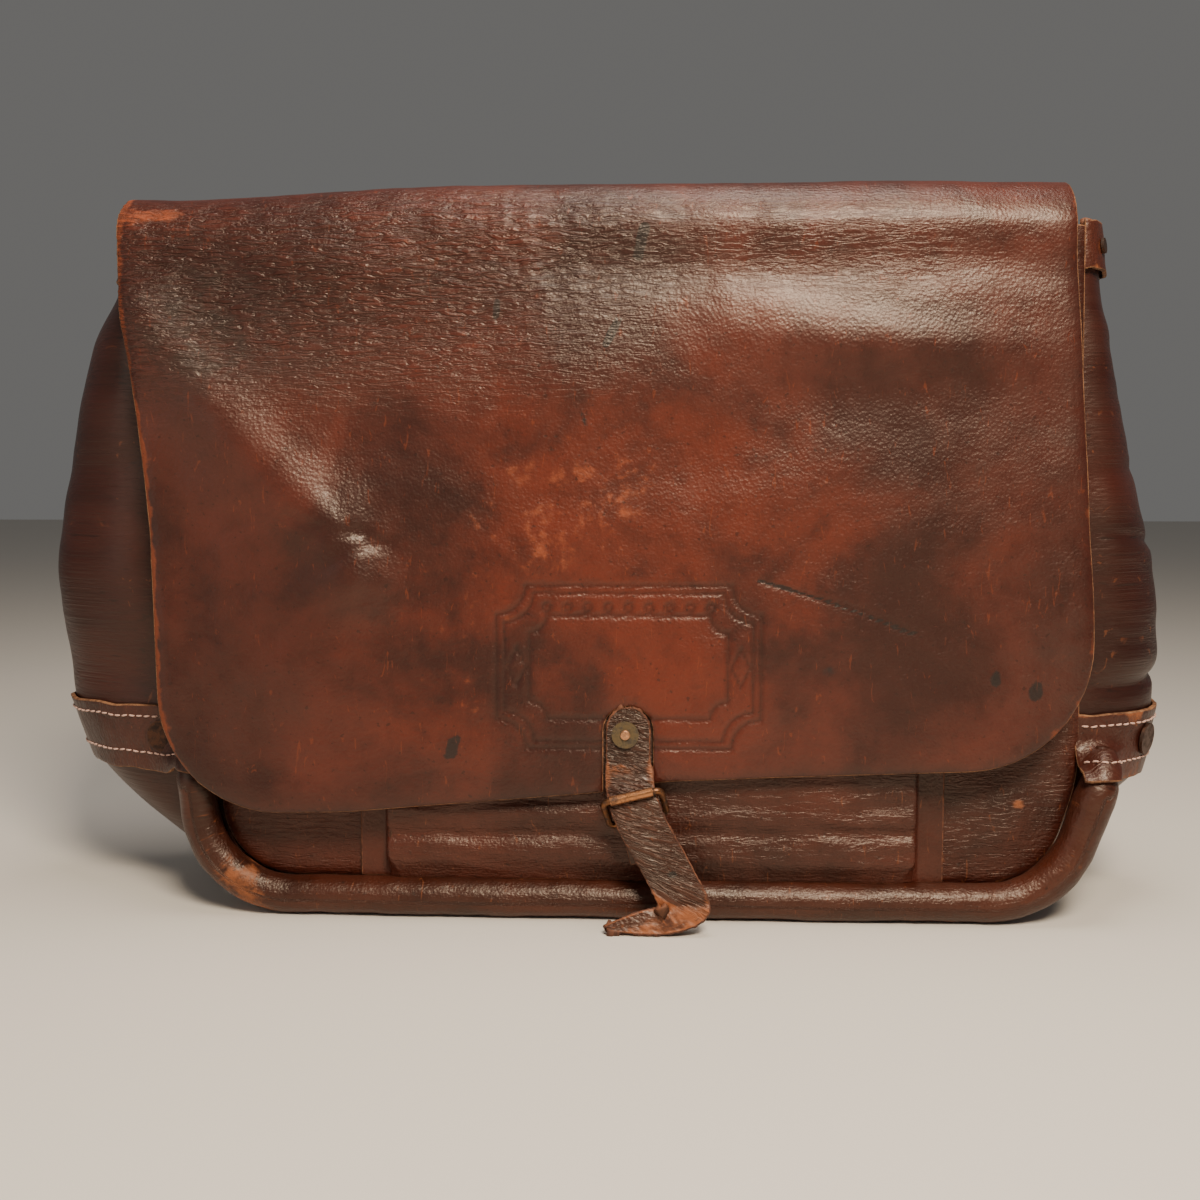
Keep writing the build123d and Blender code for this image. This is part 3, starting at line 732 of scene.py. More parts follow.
def sheet_relief(flat, edge_distance):
    """How far the leather stands off its plain shape, and its marks, from its creases, dents and wear, with
    painted shade among the marks.
    """
    x, s = flat[:, 0], flat[:, 1]
    c = s_of(0) - s
    p = spread(x, s, 0)
    hang = smooth(s, S_HANG - 30, S_HANG + 15)
    over = smooth(s, S_REAR, S_TOP) * (1 - smooth(s, S_FRONT + 12, S_HANG + 4))
    out = 1.3 * fractal(p / 90, 2, 3) * (0.4 + 0.6 * hang) + 0.35 * fractal(p / 24, 2, 9)
    out -= over * (5.5 * smooth(x, -70, -240) + 1.0 * smooth(x, 150, 225))
    hollow = 3.0 * smooth(x, -150, 60) * bump_at(x, c, 60, 340, 170, 13)
    out += hang * (6.0 * line_at(x, c, RIDGE, 19) + hills(x, c, DENTS) - hollow)
    out -= 1.1 * sum(line_at(x, c, crease, 2.1) for crease in CREASES)
    warp = 2.4 * fractal(p / 42, 2, 21)
    wrinkle_zone = smooth(c, 250, 318) * smooth(x, 60, -130) + 0.3 * smooth(c, 312, 345) * smooth(x, 215, 120)
    wrinkle_zone = np.clip(wrinkle_zone, 0, 1) * smooth(s, S_HANG - 40, S_HANG - 10)
    stretch = spread(x / 17, (s + warp) / 3.0, 0)
    folds = noise(stretch, 31) + 0.5 * noise(stretch * [2.0, 1.9, 1], 32)
    out += wrinkle_zone * (0.42 * folds - 0.62 * dip(folds, 0, 0.22))
    tooled = cartouche(x, c) * hang
    scratch = line_at(x, c, SCRATCH, 1.0)
    out -= 0.85 * tooled + 0.5 * bump_at(x, c, SLOT_X, 112, 24, 26) + 0.7 * scratch
    out -= hang * 1.5 * np.exp(-edge_distance / 2.2)
    out += 0.25 * noise(p / 5, 44) * np.exp(-edge_distance / 2.0)

    # Smoke stains, with a painted shade band under the front fold.
    smoke_and_shade = hills(x, c, SMOKE_AND_SHADE_PATCHES)
    shade = 0.75 * tooled + 0.5 * scratch + 0.35 * hang * np.exp(-edge_distance / 7.0)
    shade += hills(x, c, SHADE_PATCHES)
    left_edge = smooth(x, -215, -236)
    wear = hills(x, c, WORN_PATCHES) + 0.2 * smooth(s, S_HANG - 40, S_HANG - 12) * smooth(c, 350, 366)
    wear += (0.3 + 0.6 * left_edge) * np.exp(-edge_distance / (1.3 + 1.4 * left_edge))
    wear += 0.16 * noise(p / 9, 46) + 0.12 * noise(p / 3.5, 47)
    ink_and_hole_shade = hills(x, c, INK_SPOTS) + sum(k * line_at(x, c, points, width) for k, points, width in INK_LINES)
    masks = [np.clip(m, 0, 1) for m in (wrinkle_zone, wear, smoke_and_shade, ink_and_hole_shade, shade, hills(x, c, WARM_PATCHES))]
    return out, plain(p, *masks[:4], p / 1000, *masks[4:])


def flap_spacing(s):
    c = s_of(0) - s
    if s < S_FRONT:
        return 2.8
    if s < S_HANG:
        return 2.0
    if c > 275:
        return 1.25
    return 2.8 if c > 192 else 1.4


def width_spacing(x):
    return 1.3 if -92 < x < 96 else 4.2


flap_across = shares(-258, 238, width_spacing)
flap_down = shares(S_MID, s_of(70), flap_spacing)


def sheet_piece(name, flat, outline, seam_at, looks, hole=None):
    """Turns a grid of sheet coordinates into a slab of the flap's leather."""
    rows, columns = flat.shape[:2]
    faces = grid_faces(rows, columns)
    points = flat.reshape(-1, 2)
    if hole is not None:
        points, faces = cut(points, faces, hole)
    seam = np.abs(points[:, 1] - seam_at) < 0.5
    edge_distance = from_border(points, outline)
    if hole is not None:
        edge_distance = np.minimum(edge_distance, np.maximum(hole(points), 0))
    out, marks = sheet_relief(points, edge_distance)
    space = sheet_point(points, out)
    marks["seam"] = seam.astype(float)
    space, faces, marks = tidy(space, faces, marks)
    faces = face_out(space, faces, looks)
    seam = marks.pop("seam") > 0.5
    return slab(name, space, faces, FLAP_THICK, [flap_skin, flesh, edge], marks, seam=seam)


def sheet_grid(outline, left, right, down):
    """Grid of the sheet between the line on top of the bag and an outline cut at its two lower corners."""
    top = np.array([outline[0], outline[-1]])
    base = outline[left : right + 1]
    return coons(top, base, outline[: left + 1], outline[right:][::-1], flap_across, down)


flap_flat = sheet_grid(flap_outline, low_left, low_right, flap_down)
flap = sheet_piece("flap_leather_sheet", flap_flat, flap_outline, S_MID, (0, -1, 0), slot_distance)
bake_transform(flap)
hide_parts("flap_front")

BACK_OUTLINE = [
    (-258, S_MID), (-260, S_TOP), (-246, S_REAR - 2), (-217, 56), (-211.4, 0), (219.5, 0), (239, 56),
    (237, S_REAR - 2), (230, S_TOP), (224, S_MID),
]
back_outline = rounded(BACK_OUTLINE, [30, 30, 100, 42, 42, 100, 100, 100], ARC)
back_left = 1 + 3 * ARC + ARC // 2
back_right = 1 + 4 * ARC + ARC // 2
back_down = shares(0, S_MID, lambda s: 3.0 if s < 60 else 4.2)
back_flat = sheet_grid(back_outline, back_left, back_right, back_down)
back = sheet_piece("back_leather_sheet", back_flat, back_outline, S_MID, (0, 1, 0))
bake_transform(back)
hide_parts("back_panel", "flap_top")


# ---- Front panel ----
def front_panel():
    outline = rounded(
        [(-245, 362), (-217.4, 76), (-212.9, 19.2), (222.4, 18.8), (241, 76), (237, 362)], [100, 40, 41, 100],
    )
    a, b = 1 + ARC + ARC // 2, 1 + 2 * ARC + ARC // 2
    flat = coons(
        np.array([[-245, 362], [237, 362]], float), outline[a : b + 1], outline[: a + 1], outline[b:][::-1],
        shares(0, 480, lambda x: 3.6), shares(0, 342, lambda c: 2.6 if c > 230 else 6.0),
    )
    rows, columns = flat.shape[:2]
    flat = flat.reshape(-1, 2)
    x, c = flat.T
    p = spread(x, c, 0)
    d = from_border(flat, outline)
    under_pocket = smooth(x, -146, -140) * smooth(x, 176, 170)
    loose = (1 - under_pocket) * smooth(d, 4, 24)
    out = loose * (1.6 * fractal(p / 55, 2, 51) - 0.8) - 1.2 * np.exp(-d / 2.0)
    out += loose * hills(x, c, [(2.4, 205, 52, 22, 20), (2.0, -185, 52, 24, 18)])
    wear = 0.3 * np.exp(-d / 2.5) + hills(x, c, [(0.75, 209, 62, 5, 4), (0.6, 200, 42, 5, 4)])
    marks = plain(p, 0.25, wear, 0.2, 0, p / 1000)
    leather_piece("front_panel_leather", front(x, c, out), rows, columns, (0, -1, 0), PANEL_THICK,
                  [body_skin, flesh, edge], marks, ("bag", "panel_leather", "front_panel"))


front_panel()

# ---- Gussets: bulging sides. A section is a panel's edge (x, z) and the middle of the bulge (x, z) ----
RIGHT = [
    ((190, 19.5), (192, 8)), ((214, 24), (224, 12)), ((231, 52), (247, 44)), ((239.5, 74), (287, 74)),
    ((239.5, 110), (294, 110)), ((239.2, 150), (293, 150)), ((238.7, 200), (285, 200)),
    ((238.3, 250), (274, 250)), ((238, 300), (263, 300)), ((237.6, 366), (251, 366)),
]
LEFT = [
    ((-176, 19.5), (-178, 8)), ((-200, 23), (-216, 11)), ((-212, 36), (-250, 30)), ((-216, 52), (-280, 51)),
    ((-217.6, 74), (-304, 75)), ((-221, 110), (-317, 110)), ((-226.5, 166), (-319, 166)),
    ((-231.8, 220), (-313, 220)), ((-237, 275), (-303, 275)),
    ((-241.8, 325), (-287, 325)), ((-245.6, 366), (-268, 366)),
]
GUSSET_THICK = 3.0
FIT = 0.35
BAND_SKIN = 2.85


def half_room(z):
    return HALF_DEPTH - PANEL_THICK - FIT - z * SIN


def bulge(section, share, skin=0.0):
    """Points across a gusset. section is edge x, z and apex x, z. share runs from -1, front, to 1."""
    ex, ez, ax, az = np.moveaxis(section, -1, 0)
    wide = np.hypot(ax - ex, az - ez)
    angle = share * math.pi / 2
    reach = (wide + skin) * np.cos(angle) / wide
    y = (half_room(ez) + skin) * np.sin(angle)
    return np.stack([ex + (ax - ex) * reach, y, ez + (az - ez) * reach], axis=-1)


def gusset(name, sections, sign, node):
    listed = np.array([[*e, *a] for e, a in sections], float)
    rows, columns = 150, 72
    along = curve(listed, rows)
    share = np.linspace(-1, 1, columns)
    grid = bulge(along[:, None, :], share[None, :])
    points = grid.reshape(-1, 3)
    faces = face_out(points, grid_faces(rows, columns), (sign, 0, 0))
    normal = mesh_normals(points, faces)
    x, y, z = points.T
    middle = np.repeat(np.cos(share * math.pi / 2)[None, :], rows, axis=0).ravel()
    foot = smooth(z, 24, 60)
    out = foot * middle**0.5 * (2.2 * fractal(points / 70, 2, 61 + sign) - 1.0)
    warp = 8 * fractal(points / 60, 2, 65)
    folds = noise(spread(y / 42, (z + warp) / 13, 7.0 * sign), 67)
    side = smooth(middle, 0.05, 0.5) * foot
    strength = 0.7 if sign > 0 else 0.2
    out += side * strength * smooth(z, 110, 150) * smooth(z, 350, 300) * folds
    if sign > 0:
        out -= side * 3.0 * dip(z - 0.12 * y + 2 * folds, 128, 3.2)
        out -= side * 1.8 * dip(z + 0.2 * y, 196, 3.0)
        out += side * 1.5 * dip(z, 138, 7.0)
        out -= side * 1.4 * dip(z - 0.1 * y, 240, 4.0)
        fuller = 2.0 * smooth(z, 122, 165) * smooth(z, 336, 304) + 2.4 * dip(z, 206, 32.0)
    else:
        out -= side * 1.5 * dip(z + 0.2 * y, 232, 12.0)
        out += side * 1.6 * dip(z, 185, 20.0)
        fuller = 5.0 * smooth(z, 122, 165) * smooth(z, 336, 304)
    under_band = dip(z, 92, 26.0, 4)
    out = np.clip(out, -5, 3.5) * (1 - 0.9 * under_band) + side * fuller
    wear = 0.3 * dip(z, 130, 6.0) * side
    rest = spread(y + 0.6 * np.abs(x) * np.sign(y), z, 50.0 * sign) / 1000
    marks = plain(points, 0.15 * side, wear, 0.3 * smooth(z, 120, 300), 0, rest)
    skins = [side_skin, flesh, dark_edge]
    finish_piece(slab(name, points + normal * out[:, None], faces, GUSSET_THICK, skins, marks),
                 "bag", "gusset_leather", node)


gusset("gusset_right_leather", RIGHT, 1, "gusset_right")
gusset("gusset_left_leather", LEFT, -1, "gusset_left")


def bottom():
    rows, columns = 24, 90
    share = np.linspace(-1, 1, rows)[:, None] * math.pi / 2
    x = np.linspace(-175, 189, columns)[None, :]
    z = 19.5 - 11.5 * np.cos(share) + 0 * x
    y = half_room(19.5) * np.sin(share) + 0 * x
    points = np.stack([x + 0 * share, y, z], axis=-1).reshape(-1, 3)
    points[:, 2] += 1.2 * fractal(points / 45, 2, 71) * np.abs(np.cos(np.repeat(share.ravel(), columns)))
    marks = plain(points, 0.3, 0.3, 0.3)
    leather_piece("bottom_leather", points, rows, columns, (0, 0, -1), GUSSET_THICK,
                  [side_skin, flesh, dark_edge], marks, ("bag", "panel_leather", "bottom_panel"))


bottom()

# ---- Rolls: leather sewn over a rope core, along the foot of each panel and up its corners ----
ROLL_R = 10.5


def roll_line():
    plan = rounded([(-227.6, 69.5), (-221.5, 10.4), (228.0, 10.4), (248.3, 69.5)], [50, 50])
    low = resample(plan, np.linspace(0, 1, 300))
    deep = np.full(len(low), ROLL_Y)
    left = [(-229.5, 78, 58.0), (-230.5, 86, 54.5), (-231, 92, 51.0)]
    right = [(250.5, 78, 58.0), (252.0, 86, 54.5), (253.0, 92, 51.0)]
    whole = np.vstack([left[::-1], np.column_stack([low, deep]), right])
    return resample(whole, np.linspace(0, 1, 420))


roll_path = roll_line()


def roll_radius(z):
    return np.interp(z, [0, 66, 74, 80, 86, 92], [ROLL_R, ROLL_R, 9.8, 8.4, 6.4, 4.5])


def roll(name, sign, *nodes):
    """sign is -1 at the front and 1 at the back."""
    path = np.stack([roll_path[:, 0], sign * roll_path[:, 2], roll_path[:, 1]], axis=1)
    radius = roll_radius(path[:, 2])
    around = 32
    points, faces = tube(path, radius, around)
    centre = np.repeat(path, around, axis=0)
    normal = (points - centre) / np.linalg.norm(points - centre, axis=1, keepdims=True)
    length = np.repeat(run_of(path), around)
    p = spread(length, points[:, 1], points[:, 2])
    out = 0.7 * fractal(p / [60, 30, 30], 3, 81 + sign) - 0.35
    out += 0.28 * noise(spread(length / 9, normal[:, 1] * 1.4, normal[:, 2] * 1.4), 84)
    up = normal[:, 2]
    out -= 1.6 * dip(-sign * normal[:, 1], 0.75, 0.16) * (up > -0.3)
    points = points + normal * np.clip(out, -2.0, 0.6)[:, None]
    points[:, 2] = np.maximum(points[:, 2], 0.25)
    worn = [(0.6, -205, 22, 16, 14), (0.3, -190, 8, 14, 8), (0.3, 236, 30, 14, 20)]
    wear = hills(points[:, 0], points[:, 2], worn) + 0.3 * smooth(-up, 0.3, 1.0) + 0.06
    rest = spread(length, np.arctan2(up, normal[:, 1]) * ROLL_R, 0) / 1000
    marks = plain(points, 0.1, wear, 0.25, 0, rest)
    piece = new_object(name, points, faces, [roll_skin], None, marks)
    finish_piece(piece, "bag", "roll_leather", *nodes)


roll("front_roll_leather", -1, "front_roll", "front_roll_core")
roll("rear_roll_leather", 1, "rear_roll", "rear_roll_core")


# ---- Bands and tabs: strips of leather that wrap a gusset from panel to panel ----
def section_at(sections, z):
    listed = np.array([[*e, *a] for e, a in sections], float)
    z = np.asarray(z, float)
    ex = np.interp(z, listed[3:, 1], listed[3:, 0])
    ax = np.interp(z, listed[3:, 3], listed[3:, 2])
    return np.stack([ex, z, ax, z], axis=-1)


def blur(values, width):
    """Smooths rows of values along their length."""
    kernel = np.exp(-((np.arange(-3 * width, 3 * width + 1) / width) ** 2) / 2)
    kernel /= kernel.sum()
    padded = np.pad(values, ((0, 0), (3 * width, 3 * width)), mode="edge")
    return np.array([np.convolve(row, kernel, mode="valid") for row in padded])


def band_grid(sections, low, high, rows, columns, over_roll, seed):
    """Outer face of a band, with its bumps over the two rolls, and shares across."""
    z = np.linspace(low, high, rows)
    share = np.linspace(-1, 1, columns)
    p = bulge(section_at(sections, z)[:, None, :], share[None, :], BAND_SKIN)
    flat_normal = np.gradient(p, axis=1)[..., :2]
    sign = math.copysign(1, sections[5][1][0])
    n = np.stack([flat_normal[..., 1], -flat_normal[..., 0]], axis=-1) * sign
    n /= np.linalg.norm(n, axis=-1, keepdims=True)
    lift = np.zeros(p.shape[:2])
    if over_roll:
        half = roll_path[roll_path[:, 0] * sign > 0]
        half = half[np.argsort(half[:, 1])]
        half = half[half[:, 1] > 40]
        rx = np.interp(z, half[:, 1], half[:, 0])[:, None]
        ry = np.interp(z, half[:, 1], half[:, 2])[:, None]
        need = np.where(z < 92, roll_radius(z) + 2.6, 0)[:, None]
        for face in (-1, 1):
            dx, dy = p[..., 0] - rx, p[..., 1] - face * ry
            b = n[..., 0] * dx + n[..., 1] * dy
            inside = b * b - (dx * dx + dy * dy - need * need)
            t = np.where(inside > 0, -b + np.sqrt(np.maximum(inside, 0)), 0)
            near = np.where(np.sign(p[..., 1]) == face, t, 0)
            lift = np.maximum(lift, np.clip(near, 0, 24))
        lift = np.maximum(blur(lift, 5), blur(lift, 2) * 0.97)
        lift = np.maximum(lift, blur(lift.T.copy(), 2).T)
    wavy = 0.7 * fractal(p.reshape(-1, 3) / 22, 2, seed).reshape(rows, columns)
    lift = lift + 0.35 + np.maximum(wavy, -0.3)
    p[..., :2] += n * lift[..., None]
    if over_roll:
        p[..., 2] += np.linspace(4.5, 0, rows)[:, None] * smooth(lift, 3, 12)
    hem = noise(np.stack([share * 9, np.full(columns, 0.5), np.full(columns, float(seed))], axis=1), seed)
    p[..., 2] += hem[None, :] * 0.9 * (np.linspace(-1, 1, rows)[:, None])
    return p, share


def band(name, sections, heights, over_roll, seed, node):
    low, high = heights
    rows, columns = (26, 150) if over_roll else (16, 60)
    grid, share = band_grid(sections, low, high, rows, columns, over_roll, seed)
    points = grid.reshape(-1, 3)
    side = 1 if sections is RIGHT else -1
    worn = noise(points / 16, seed + 3)
    # The right band is painted lighter all over than the left one.
    wear = 0.3 * smooth(worn, 0.1, 0.8) + (0.24 if side > 0 else 0.0)
    wear = wear + 0.2 * np.exp(-np.minimum(points[:, 2] - low, high - points[:, 2]) / 1.5)
    marks = plain(points, 0.25, wear, 0.3)
    leather_piece(name, points, rows, columns, (side, 0, 0), 2.3, [band_skin, flesh, edge], marks,
                  ("bag", "band_leather", node), bevel=0.6)
    return grid


BAND_HEIGHTS = (74.2, 109.0)
TAB_HEIGHTS = (341.0, 365.0)
right_band = band("band_right_leather", RIGHT, BAND_HEIGHTS, True, 91, "band_right")
left_band = band("band_left_leather", LEFT, BAND_HEIGHTS, True, 95, "band_left")
band("tab_right_leather", RIGHT, TAB_HEIGHTS, False, 97, "top_tab_right")
band("tab_left_leather", LEFT, TAB_HEIGHTS, False, 99, "top_tab_left")


def stitches():
    """Rows of thread along the bands' edges. Each stitch dips into the leather at both ends."""
    points, faces = [], []
    around = 8
    draw = np.random.RandomState(5)
    for grid in (right_band, left_band):
        rows, columns = grid.shape[:2]
        normal = normals_of(grid)
        middle = grid.mean(axis=(0, 1))
        for height in (83.7, 103.5):
            r = (height - BAND_HEIGHTS[0]) / (BAND_HEIGHTS[1] - BAND_HEIGHTS[0]) * (rows - 1)
            line = grid[int(r)] * (1 - r % 1) + grid[min(int(r) + 1, rows - 1)] * (r % 1)
            out = normal[int(r)]
            out = out * np.sign(((line - middle) * out).sum(axis=1, keepdims=True))
            run = run_of(line)
            for start in np.arange(3.0, run[-1] - 5, 4.9):
                at = np.linspace(start, start + 3.7, 7)
                arch = np.array([-0.35, 0.2, 0.42, 0.48, 0.42, 0.2, -0.35])
                path = along(at, run, line) + along(at, run, out) * arch[:, None]
                path[:, 2] += np.linspace(-1, 1, 7) * draw.uniform(-0.3, 0.3)
                v, f = tube(path, np.array([0.3, 0.5, 0.56, 0.58, 0.56, 0.5, 0.3]), around)
                base = sum(len(q) for q in points)
                points.append(v)
                faces += [tuple(i + base for i in face) for face in f]
    piece = new_object("band_thread", np.vstack(points), faces, [cotton])
    finish_piece(piece, "bag", "white_thread", "band_stitching")


stitches()


# ---- Front pocket: a flat pouch whose sides fold under its face, sewn on by flanges ----
def pocket():
    left, right, deep = -126.0, 157.0, 13.2
    profile = rounded(
        [
            (left - 13, 3.4), (left - 0.5, 3.4), (left + 3.5, 7.5), (left - 0.6, deep),
            (left + 20, deep + 0.3), (right - 20, deep + 0.3),
            (right + 0.6, deep), (right - 3.5, 7.5), (right + 0.5, 3.4), (right + 13, 3.4),
        ],
        [0.8, 1.6, 2.6, 40, 40, 2.6, 1.6, 0.8], 10,
    )
    run = run_of(profile)
    marks_at = []
    s = 0.0
    while s < run[-1]:
        marks_at.append(s)
        near = min(s, run[-1] - s)
        s += 0.8 if near < 42 else 2.6
    marks_at.append(run[-1])
    across = along(marks_at, run, profile)
    climb = np.concatenate([np.linspace(20.5, 90, 44), np.linspace(93, 232, 40)])
    rows, columns = len(climb), len(across)
    x = np.repeat(across[None, :, 0], rows, axis=0)
    out = np.repeat(across[None, :, 1], rows, axis=0)
    c = np.repeat(climb[:, None], columns, axis=1)
    face = smooth(out, 8, 12.8)
    p = spread(x.ravel(), c.ravel(), 0)
    clear = 1 - bump_at(x, c, 12, 45, 20, 26)
    big = (1.1 * fractal(p / 60, 2, 101)).reshape(x.shape)
    warp = (5 * fractal(p / 50, 2, 103)).reshape(x.shape)
    folds = noise(spread(x.ravel() / 46, (c + warp).ravel() / 8.5, 0), 104).reshape(x.shape)
    low = smooth(c, 95, 60)
    out = out + face * clear * (big - 0.5 + low * 1.25 * folds)
    out += face * clear * 1.7 * dip(c + 0.02 * x, 57, 5.5) * smooth(x, 150, 20)
    out -= face * clear * 1.6 * dip(c - 0.015 * x, 46, 3.2)
    out = 3.3 + (out - 3.3) * (0.42 + 0.58 * smooth(c, 19, 34))
    off = x - (left + right) / 2
    x = x - 5.0 * smooth(c, 34, 20) * face * np.sign(off) * smooth(np.abs(off), 110, 141)
    x, c, out, low = x.ravel(), c.ravel(), out.ravel(), low.ravel()
    points = front(x, c, out)
    flange = 1 - smooth(out, 3.6, 5.5)
    fold_line = np.exp(-((np.abs(x - (left + right) / 2) - 141) ** 2) / 8)
    wear = 0.14 * fold_line + 0.06 * flange + 0.08 * low + 0.1 * smooth(c, 30, 22)
    marks = plain(points, 0.2 * (1 - flange), wear, 0.25, 0, p / 1000)
    leather_piece("front_pocket_leather", points, rows, columns, (0, -1, 0), 2.8,
                  [body_skin, flesh, dark_edge], marks, ("bag", "pocket_leather", "front_pocket"))


pocket()


def patch():
    """The square of leather sewn behind the closure slot."""
    outline = rounded([(4.5, 77), (33.5, 77), (33.5, 139), (-24.5, 139), (-24.5, 77), (4.5, 77)], [8] * 4, 8)
    centre = np.array([4.5, 108.0])
    ring = resample(outline, np.linspace(0, 1, 96, endpoint=False))
    scale = np.linspace(0.02, 1, 16)
    flat = centre + (ring[None] - centre) * scale[:, None, None]
    flat = flat.reshape(-1, 2)
    p = spread(flat[:, 0], flat[:, 1], 0)
    out = FLAP_OUT - FLAP_THICK - FIT - 0.1 + np.minimum(0.3 * fractal(p / 14, 2, 111), 0.1)
    points = front(flat[:, 0], flat[:, 1], out)
    marks = plain(points, 0.3, 0.15, 0.6, 0, p / 1000)
    leather_piece("slot_patch_leather", points, 16, 96, (0, -1, 0), 2.2, [strap_skin, flesh, dark_edge],
                  marks, ("flap", "strap_leather", "flap_patch"), bevel=0.5, closed=True)


patch()

# ---- Closure strap ----
STRAP_HALF = 12.0
STRAP_THICK = 3.2
STRAP_OUT = FLAP_OUT - FLAP_THICK - FIT + 0.3 + STRAP_THICK


def strap():
    """A ribbon between two edges: down the slot, under the roller, to the table, its tail folded left."""
    rows_left, rows_right = [], []
    top = 115.0
    for c in (114.6, 113.2, 110.5, 107.0, 103.0, 98.0, 93.0, 89.0):
        down = top - c
        half = math.sqrt(max(STRAP_HALF**2 - max(STRAP_HALF - down, 0) ** 2, 0)) * 0.9
        rows_left.append(front(4.5 - half, c, STRAP_OUT))
        rows_right.append(front(4.5 + half, c, STRAP_OUT))
    stations = [
        ((5.2, -76.6, 80.0), 8, 12.0), ((6.2, -79.6, 71.5), 14, 12.0), ((9.0, -82.2, 63.5), 17, 12.0),
        ((12.2, -83.4, 56.0), 19, 12.0), ((17.0, -83.6, 47.0), 24, 11.8), ((22.3, -84.0, 38.0), 28, 11.8),
        ((28.0, -85.4, 27.5), 29, 11.8), ((32.0, -87.0, 20.0), 25, 12.0),
    ]
    for middle, slope, half in stations:
        a = math.radians(slope)
        step = np.array([math.cos(a), 0, math.sin(a)]) * half
        rows_left.append(np.array(middle) - step)
        rows_right.append(np.array(middle) + step)
    # The fold and the tail that lies along the foot of the roll.
    rows_left += [
        (22.5, -88.0, 15.0), (20.0, -86.6, 13.6), (15.0, -86.2, 13.0),
        (6.5, -87.0, 10.4), (-1.5, -88.0, 7.4), (-7.0, -88.6, 5.2),
    ]
    rows_right += [
        (45.5, -88.8, 19.0), (45.8, -90.2, 12.6), (38.5, -91.0, 6.4),
        (24.5, -91.2, 2.6), (8.0, -90.6, 2.2), (-5.0, -89.8, 3.2),
    ]
    left = curve(rows_left, 170)
    right = curve(rows_right, 170)
    columns = 17
    u = np.linspace(0, 1, columns)
    grid = left[:, None] * (1 - u[None, :, None]) + right[:, None] * u[None, :, None]
    rows = len(left)
    points = grid.reshape(-1, 3)
    faces = face_out(points, grid_faces(rows, columns), (0, -1, 0))
    normal = mesh_normals(points, faces)
    run = run_of((left + right) / 2)
    length = np.repeat(run, columns)
    side = np.tile(u * 2 - 1, rows)
    p = spread(side * STRAP_HALF, length, 0)
    x, z = points[:, 0], points[:, 2]
    held = smooth(z, 84, 60)
    cracked = noise(spread(side * 1.3, length / 2.6, 0), 121)
    out = 0.5 * np.maximum(fractal(p / 14, 2, 122), -0.4) * held - 0.45 * dip(cracked, 0, 0.16)
    out += held * 1.1 * (1 - side**2) * smooth(z, 8, 30)
    out -= 1.4 * dip(z - 2.5 * side, 15.5, 1.6) * smooth(x, 15, 22)
    frayed = noise(spread(length / 3.5, side * 2, 0), 123)
    edge_wear = np.exp(-(1 - np.abs(side)) / 0.16)
    flesh_up = smooth(length, run[-1] - 46, run[-1] - 38)
    wear = 0.42 * edge_wear + 0.22 * smooth(cracked, 0.2, 0.7) + 0.5 * dip(z, 14, 5.0) * smooth(x, 20, 40)
    wear += 0.5 * dip(z, 82, 8.0) + 0.42 * flesh_up
    points = points + normal * out[:, None]
    points[:, 0] += side * edge_wear * frayed * 0.35
    # Painted shade: a dark disc stands for the tongue hole, which is not cut.
    hole = np.hypot(points[:, 0] - 27.5, points[:, 2] - 31.5) < 2.0
    marks = plain(points, 0.85 * (1 - flesh_up), wear, 0.3, np.where(hole, 1.2, 0.0), p / 1000)
    skins = [strap_skin, flesh, dark_edge]
    finish_piece(slab("closure_strap_leather", points, faces, STRAP_THICK, skins, marks, bevel=0.7),
                 "flap", "strap_leather", "closure_strap")


strap()


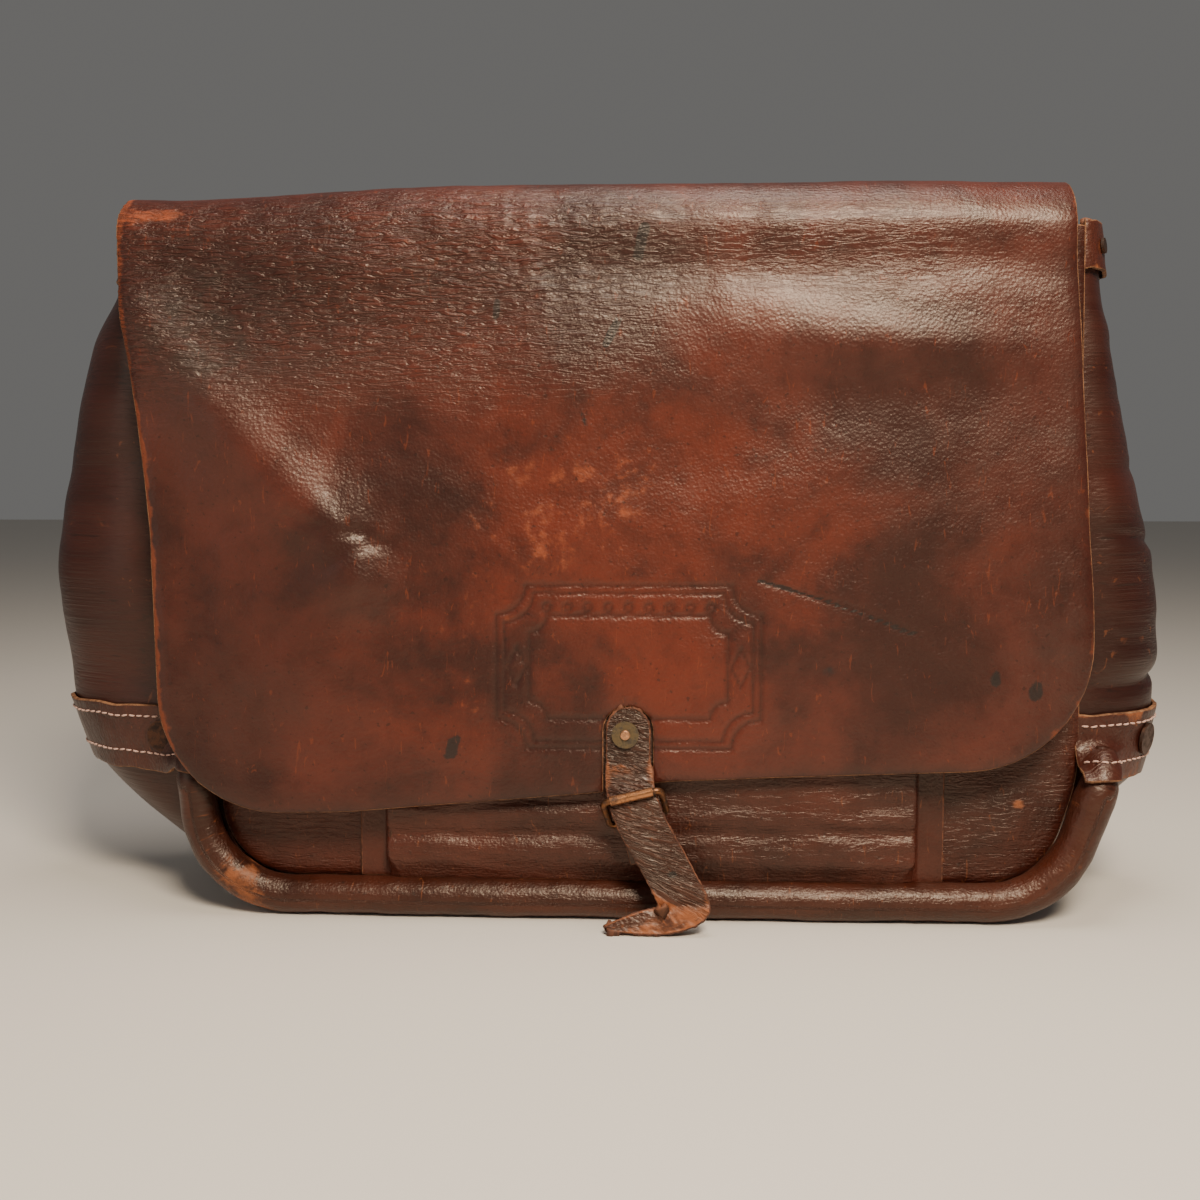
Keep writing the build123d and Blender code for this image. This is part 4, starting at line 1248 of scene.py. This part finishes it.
def chape():
    """The strip of leather that loops round the buckle's heel bar, with its leg on the pocket."""
    twist = math.radians(14.0)
    heel = np.array([10.1, -72.3, 56.7])
    across = np.array([math.cos(twist), 0, math.sin(twist)])
    down = np.array([math.sin(twist), 0, -math.cos(twist)])
    out = np.array([0, -1.0, 0])
    loop_r = 3.75
    turn = np.linspace(-100, 165, 22)
    path = [heel + loop_r * (out * math.sin(t) - down * math.cos(t)) for t in np.radians(turn)]
    leg = []
    for reach in (7.0, 12.0, 18.0, 24.0):
        point = heel + down * reach
        leg.append(front(point[0], point[2] / COS, 15.7))
    path = np.vstack([np.array(path)[::-1][6:], leg])
    path = curve(path, 60)
    columns = 13
    u = np.linspace(-10.2, 10.2, columns)
    grid = path[:, None] + u[None, :, None] * across
    points = grid.reshape(-1, 3)
    leather_piece("buckle_chape_leather", points, len(path), columns, (0, -1, 0), 1.6,
                  [strap_skin, flesh, dark_edge], plain(points, 0.3, 0.3, 0.5),
                  ("bag", "strap_leather", "buckle_chape"), bevel=0.4)


chape()

# ---- Metal: the CAD nodes keep their shapes ----
METALS = {
    "buckle_frame": dark_brass, "buckle_roller": brass, "buckle_tongue": dark_brass,
    "strap_washer": washer_brass, "strap_rivet": copper, "band_rivets": iron, "tab_rivets": iron,
}
for node, material in METALS.items():
    mesh = frame["nodes"][node].data
    mesh.materials.clear()
    mesh.materials.append(material)


# ---- Table, wall-less studio and lights ----
def studio():
    floor_mesh = bpy.data.meshes.new("floor")
    size = 6.0
    corners = [(-size, -size, 0), (size, -size, 0), (size, size, 0), (-size, size, 0)]
    floor_mesh.from_pydata(corners, [], [(0, 1, 2, 3)])
    n = Nodes("pale_floor")
    n.set(Base_Color=colour(0.62, 0.58, 0.53), Roughness=0.6)
    floor_mesh.materials.append(n.material)
    floor = link("floor", floor_mesh)
    world = bpy.data.worlds.new("studio")
    bpy.context.scene.world = world
    world.use_nodes = True
    world.node_tree.nodes["Background"].inputs[0].default_value = (0.95, 0.93, 0.9, 1)
    world.node_tree.nodes["Background"].inputs[1].default_value = 0.15
    lights = [
        ("key", (0.3, -0.95, 1.1), 36.0, 0.4, (1.0, 0.86, 0.68)),
        ("fill", (-1.1, -0.9, 0.5), 2.6, 0.9, (1.0, 0.93, 0.85)),
        ("top", (0.1, -0.1, 1.5), 12.0, 0.6, (1.0, 0.92, 0.84)),
    ]
    target = Vector((0, 0, 0.2))
    for name, at, power, width, tint in lights:
        data = bpy.data.lights.new(name, "AREA")
        data.energy = power
        data.size = width
        data.color = tint
        light = link(name, data)
        light.location = at
        light.rotation_euler = (target - Vector(at)).to_track_quat("-Z", "Y").to_euler()


studio()

bpy.context.view_layer.update()
